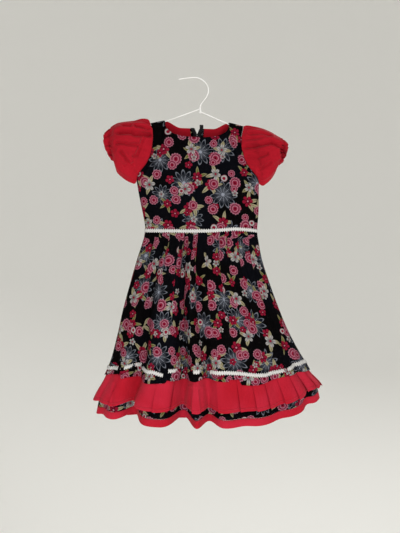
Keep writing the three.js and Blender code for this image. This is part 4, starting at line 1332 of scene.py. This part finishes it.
def smooth_route(points, count):
    """A smooth curve through (x, z) points, evenly sampled."""
    points = np.array(points, float)
    loops, _ = skin(points[:, None], count)
    return joined(loops[:, 0, 0], 0, loops[:, 0, 1])


def tube(name, route, nodes, across=(0, 1, 0), radius=WIRE):
    """A round wire along a route, with rounded ends."""
    along = np.gradient(route, axis=0)
    along /= np.linalg.norm(along, axis=1, keepdims=True)
    side = np.cross(along, across)
    side /= np.linalg.norm(side, axis=1, keepdims=True)
    other = np.cross(side, along)
    first = route[0] - along[0] * radius * ROUND_END
    last = route[-1] + along[-1] * radius * ROUND_END
    route = np.concatenate([[first], route, [last]])
    side, other = (np.concatenate([v[:1], v, v[-1:]]) for v in (side, other))
    wide = np.full(len(route), float(radius))
    wide[[0, -1]] = radius * END_WIDE
    angle = np.linspace(0, 2 * math.pi, 15)[:-1, None, None]
    points = route + wide[:, None] * (np.cos(angle) * side + np.sin(angle) * other)
    add_piece(name, grid_mesh(name, points, 1, True), WHITE_WIRE, nodes)
    print(f"{name}: {lengths(route[:, None], 0)[-1, 0]:.0f} mm of wire")


def arm(way, start, slope, end):
    """One side of the triangle, from the stem to the bent corner where the bar goes on."""
    end_z = start[1] - abs(end - start[0]) * slope
    straight = [(lerp(start[0], end, t), lerp(start[1], end_z, t)) for t in (0, 0.25, 0.5, 0.75, 0.95)]
    return [*straight, *((end + way * out, end_z + down) for out, down in CORNER)]


WHITE_WIRE = coated("white_wire", ((0.8, 0.79, 0.765), (0.87, 0.865, 0.85)), (0.28, 0.42), 60)
ARM_LEFT = arm(-1, (8, -74.7), 0.366, -190)
ARM_RIGHT = arm(1, (11, -81), 0.447, 200)
turn = np.linspace(0, COIL_TURNS * 2 * math.pi, COIL_POINTS)
coil = joined(COIL_X + COIL_RADIUS * np.cos(turn), COIL_RADIUS * np.sin(turn),
              np.linspace(COIL_HIGH, COIL_LOW, COIL_POINTS))

tube("hanger_hook_wire", smooth_route(HOOK, 120), ["hanger_hook"])
tube("hanger_coil", coil, [], (0, 0, 1), COIL_WIRE)
for end, route in (("left", ARM_LEFT), ("right", ARM_RIGHT)):
    tube(f"hanger_arm_{end}_wire", smooth_route(route, 60), [f"hanger_arm_{end}"])
tube("hanger_bar_wire", smooth_route([ARM_LEFT[-1], ARM_RIGHT[-1]], 12), ["hanger_bar"])

# %% Slider and pull tab
BLACK_METAL = coated("black_metal", ((0.025, 0.025, 0.027), (0.055, 0.055, 0.06)), (0.22, 0.4), 150)
for name in ("zip_slider", "zip_pull"):
    node = frame["nodes"][name]
    node.data.materials.clear()
    node.data.materials.append(BLACK_METAL)
    print(name, "is in black metal")
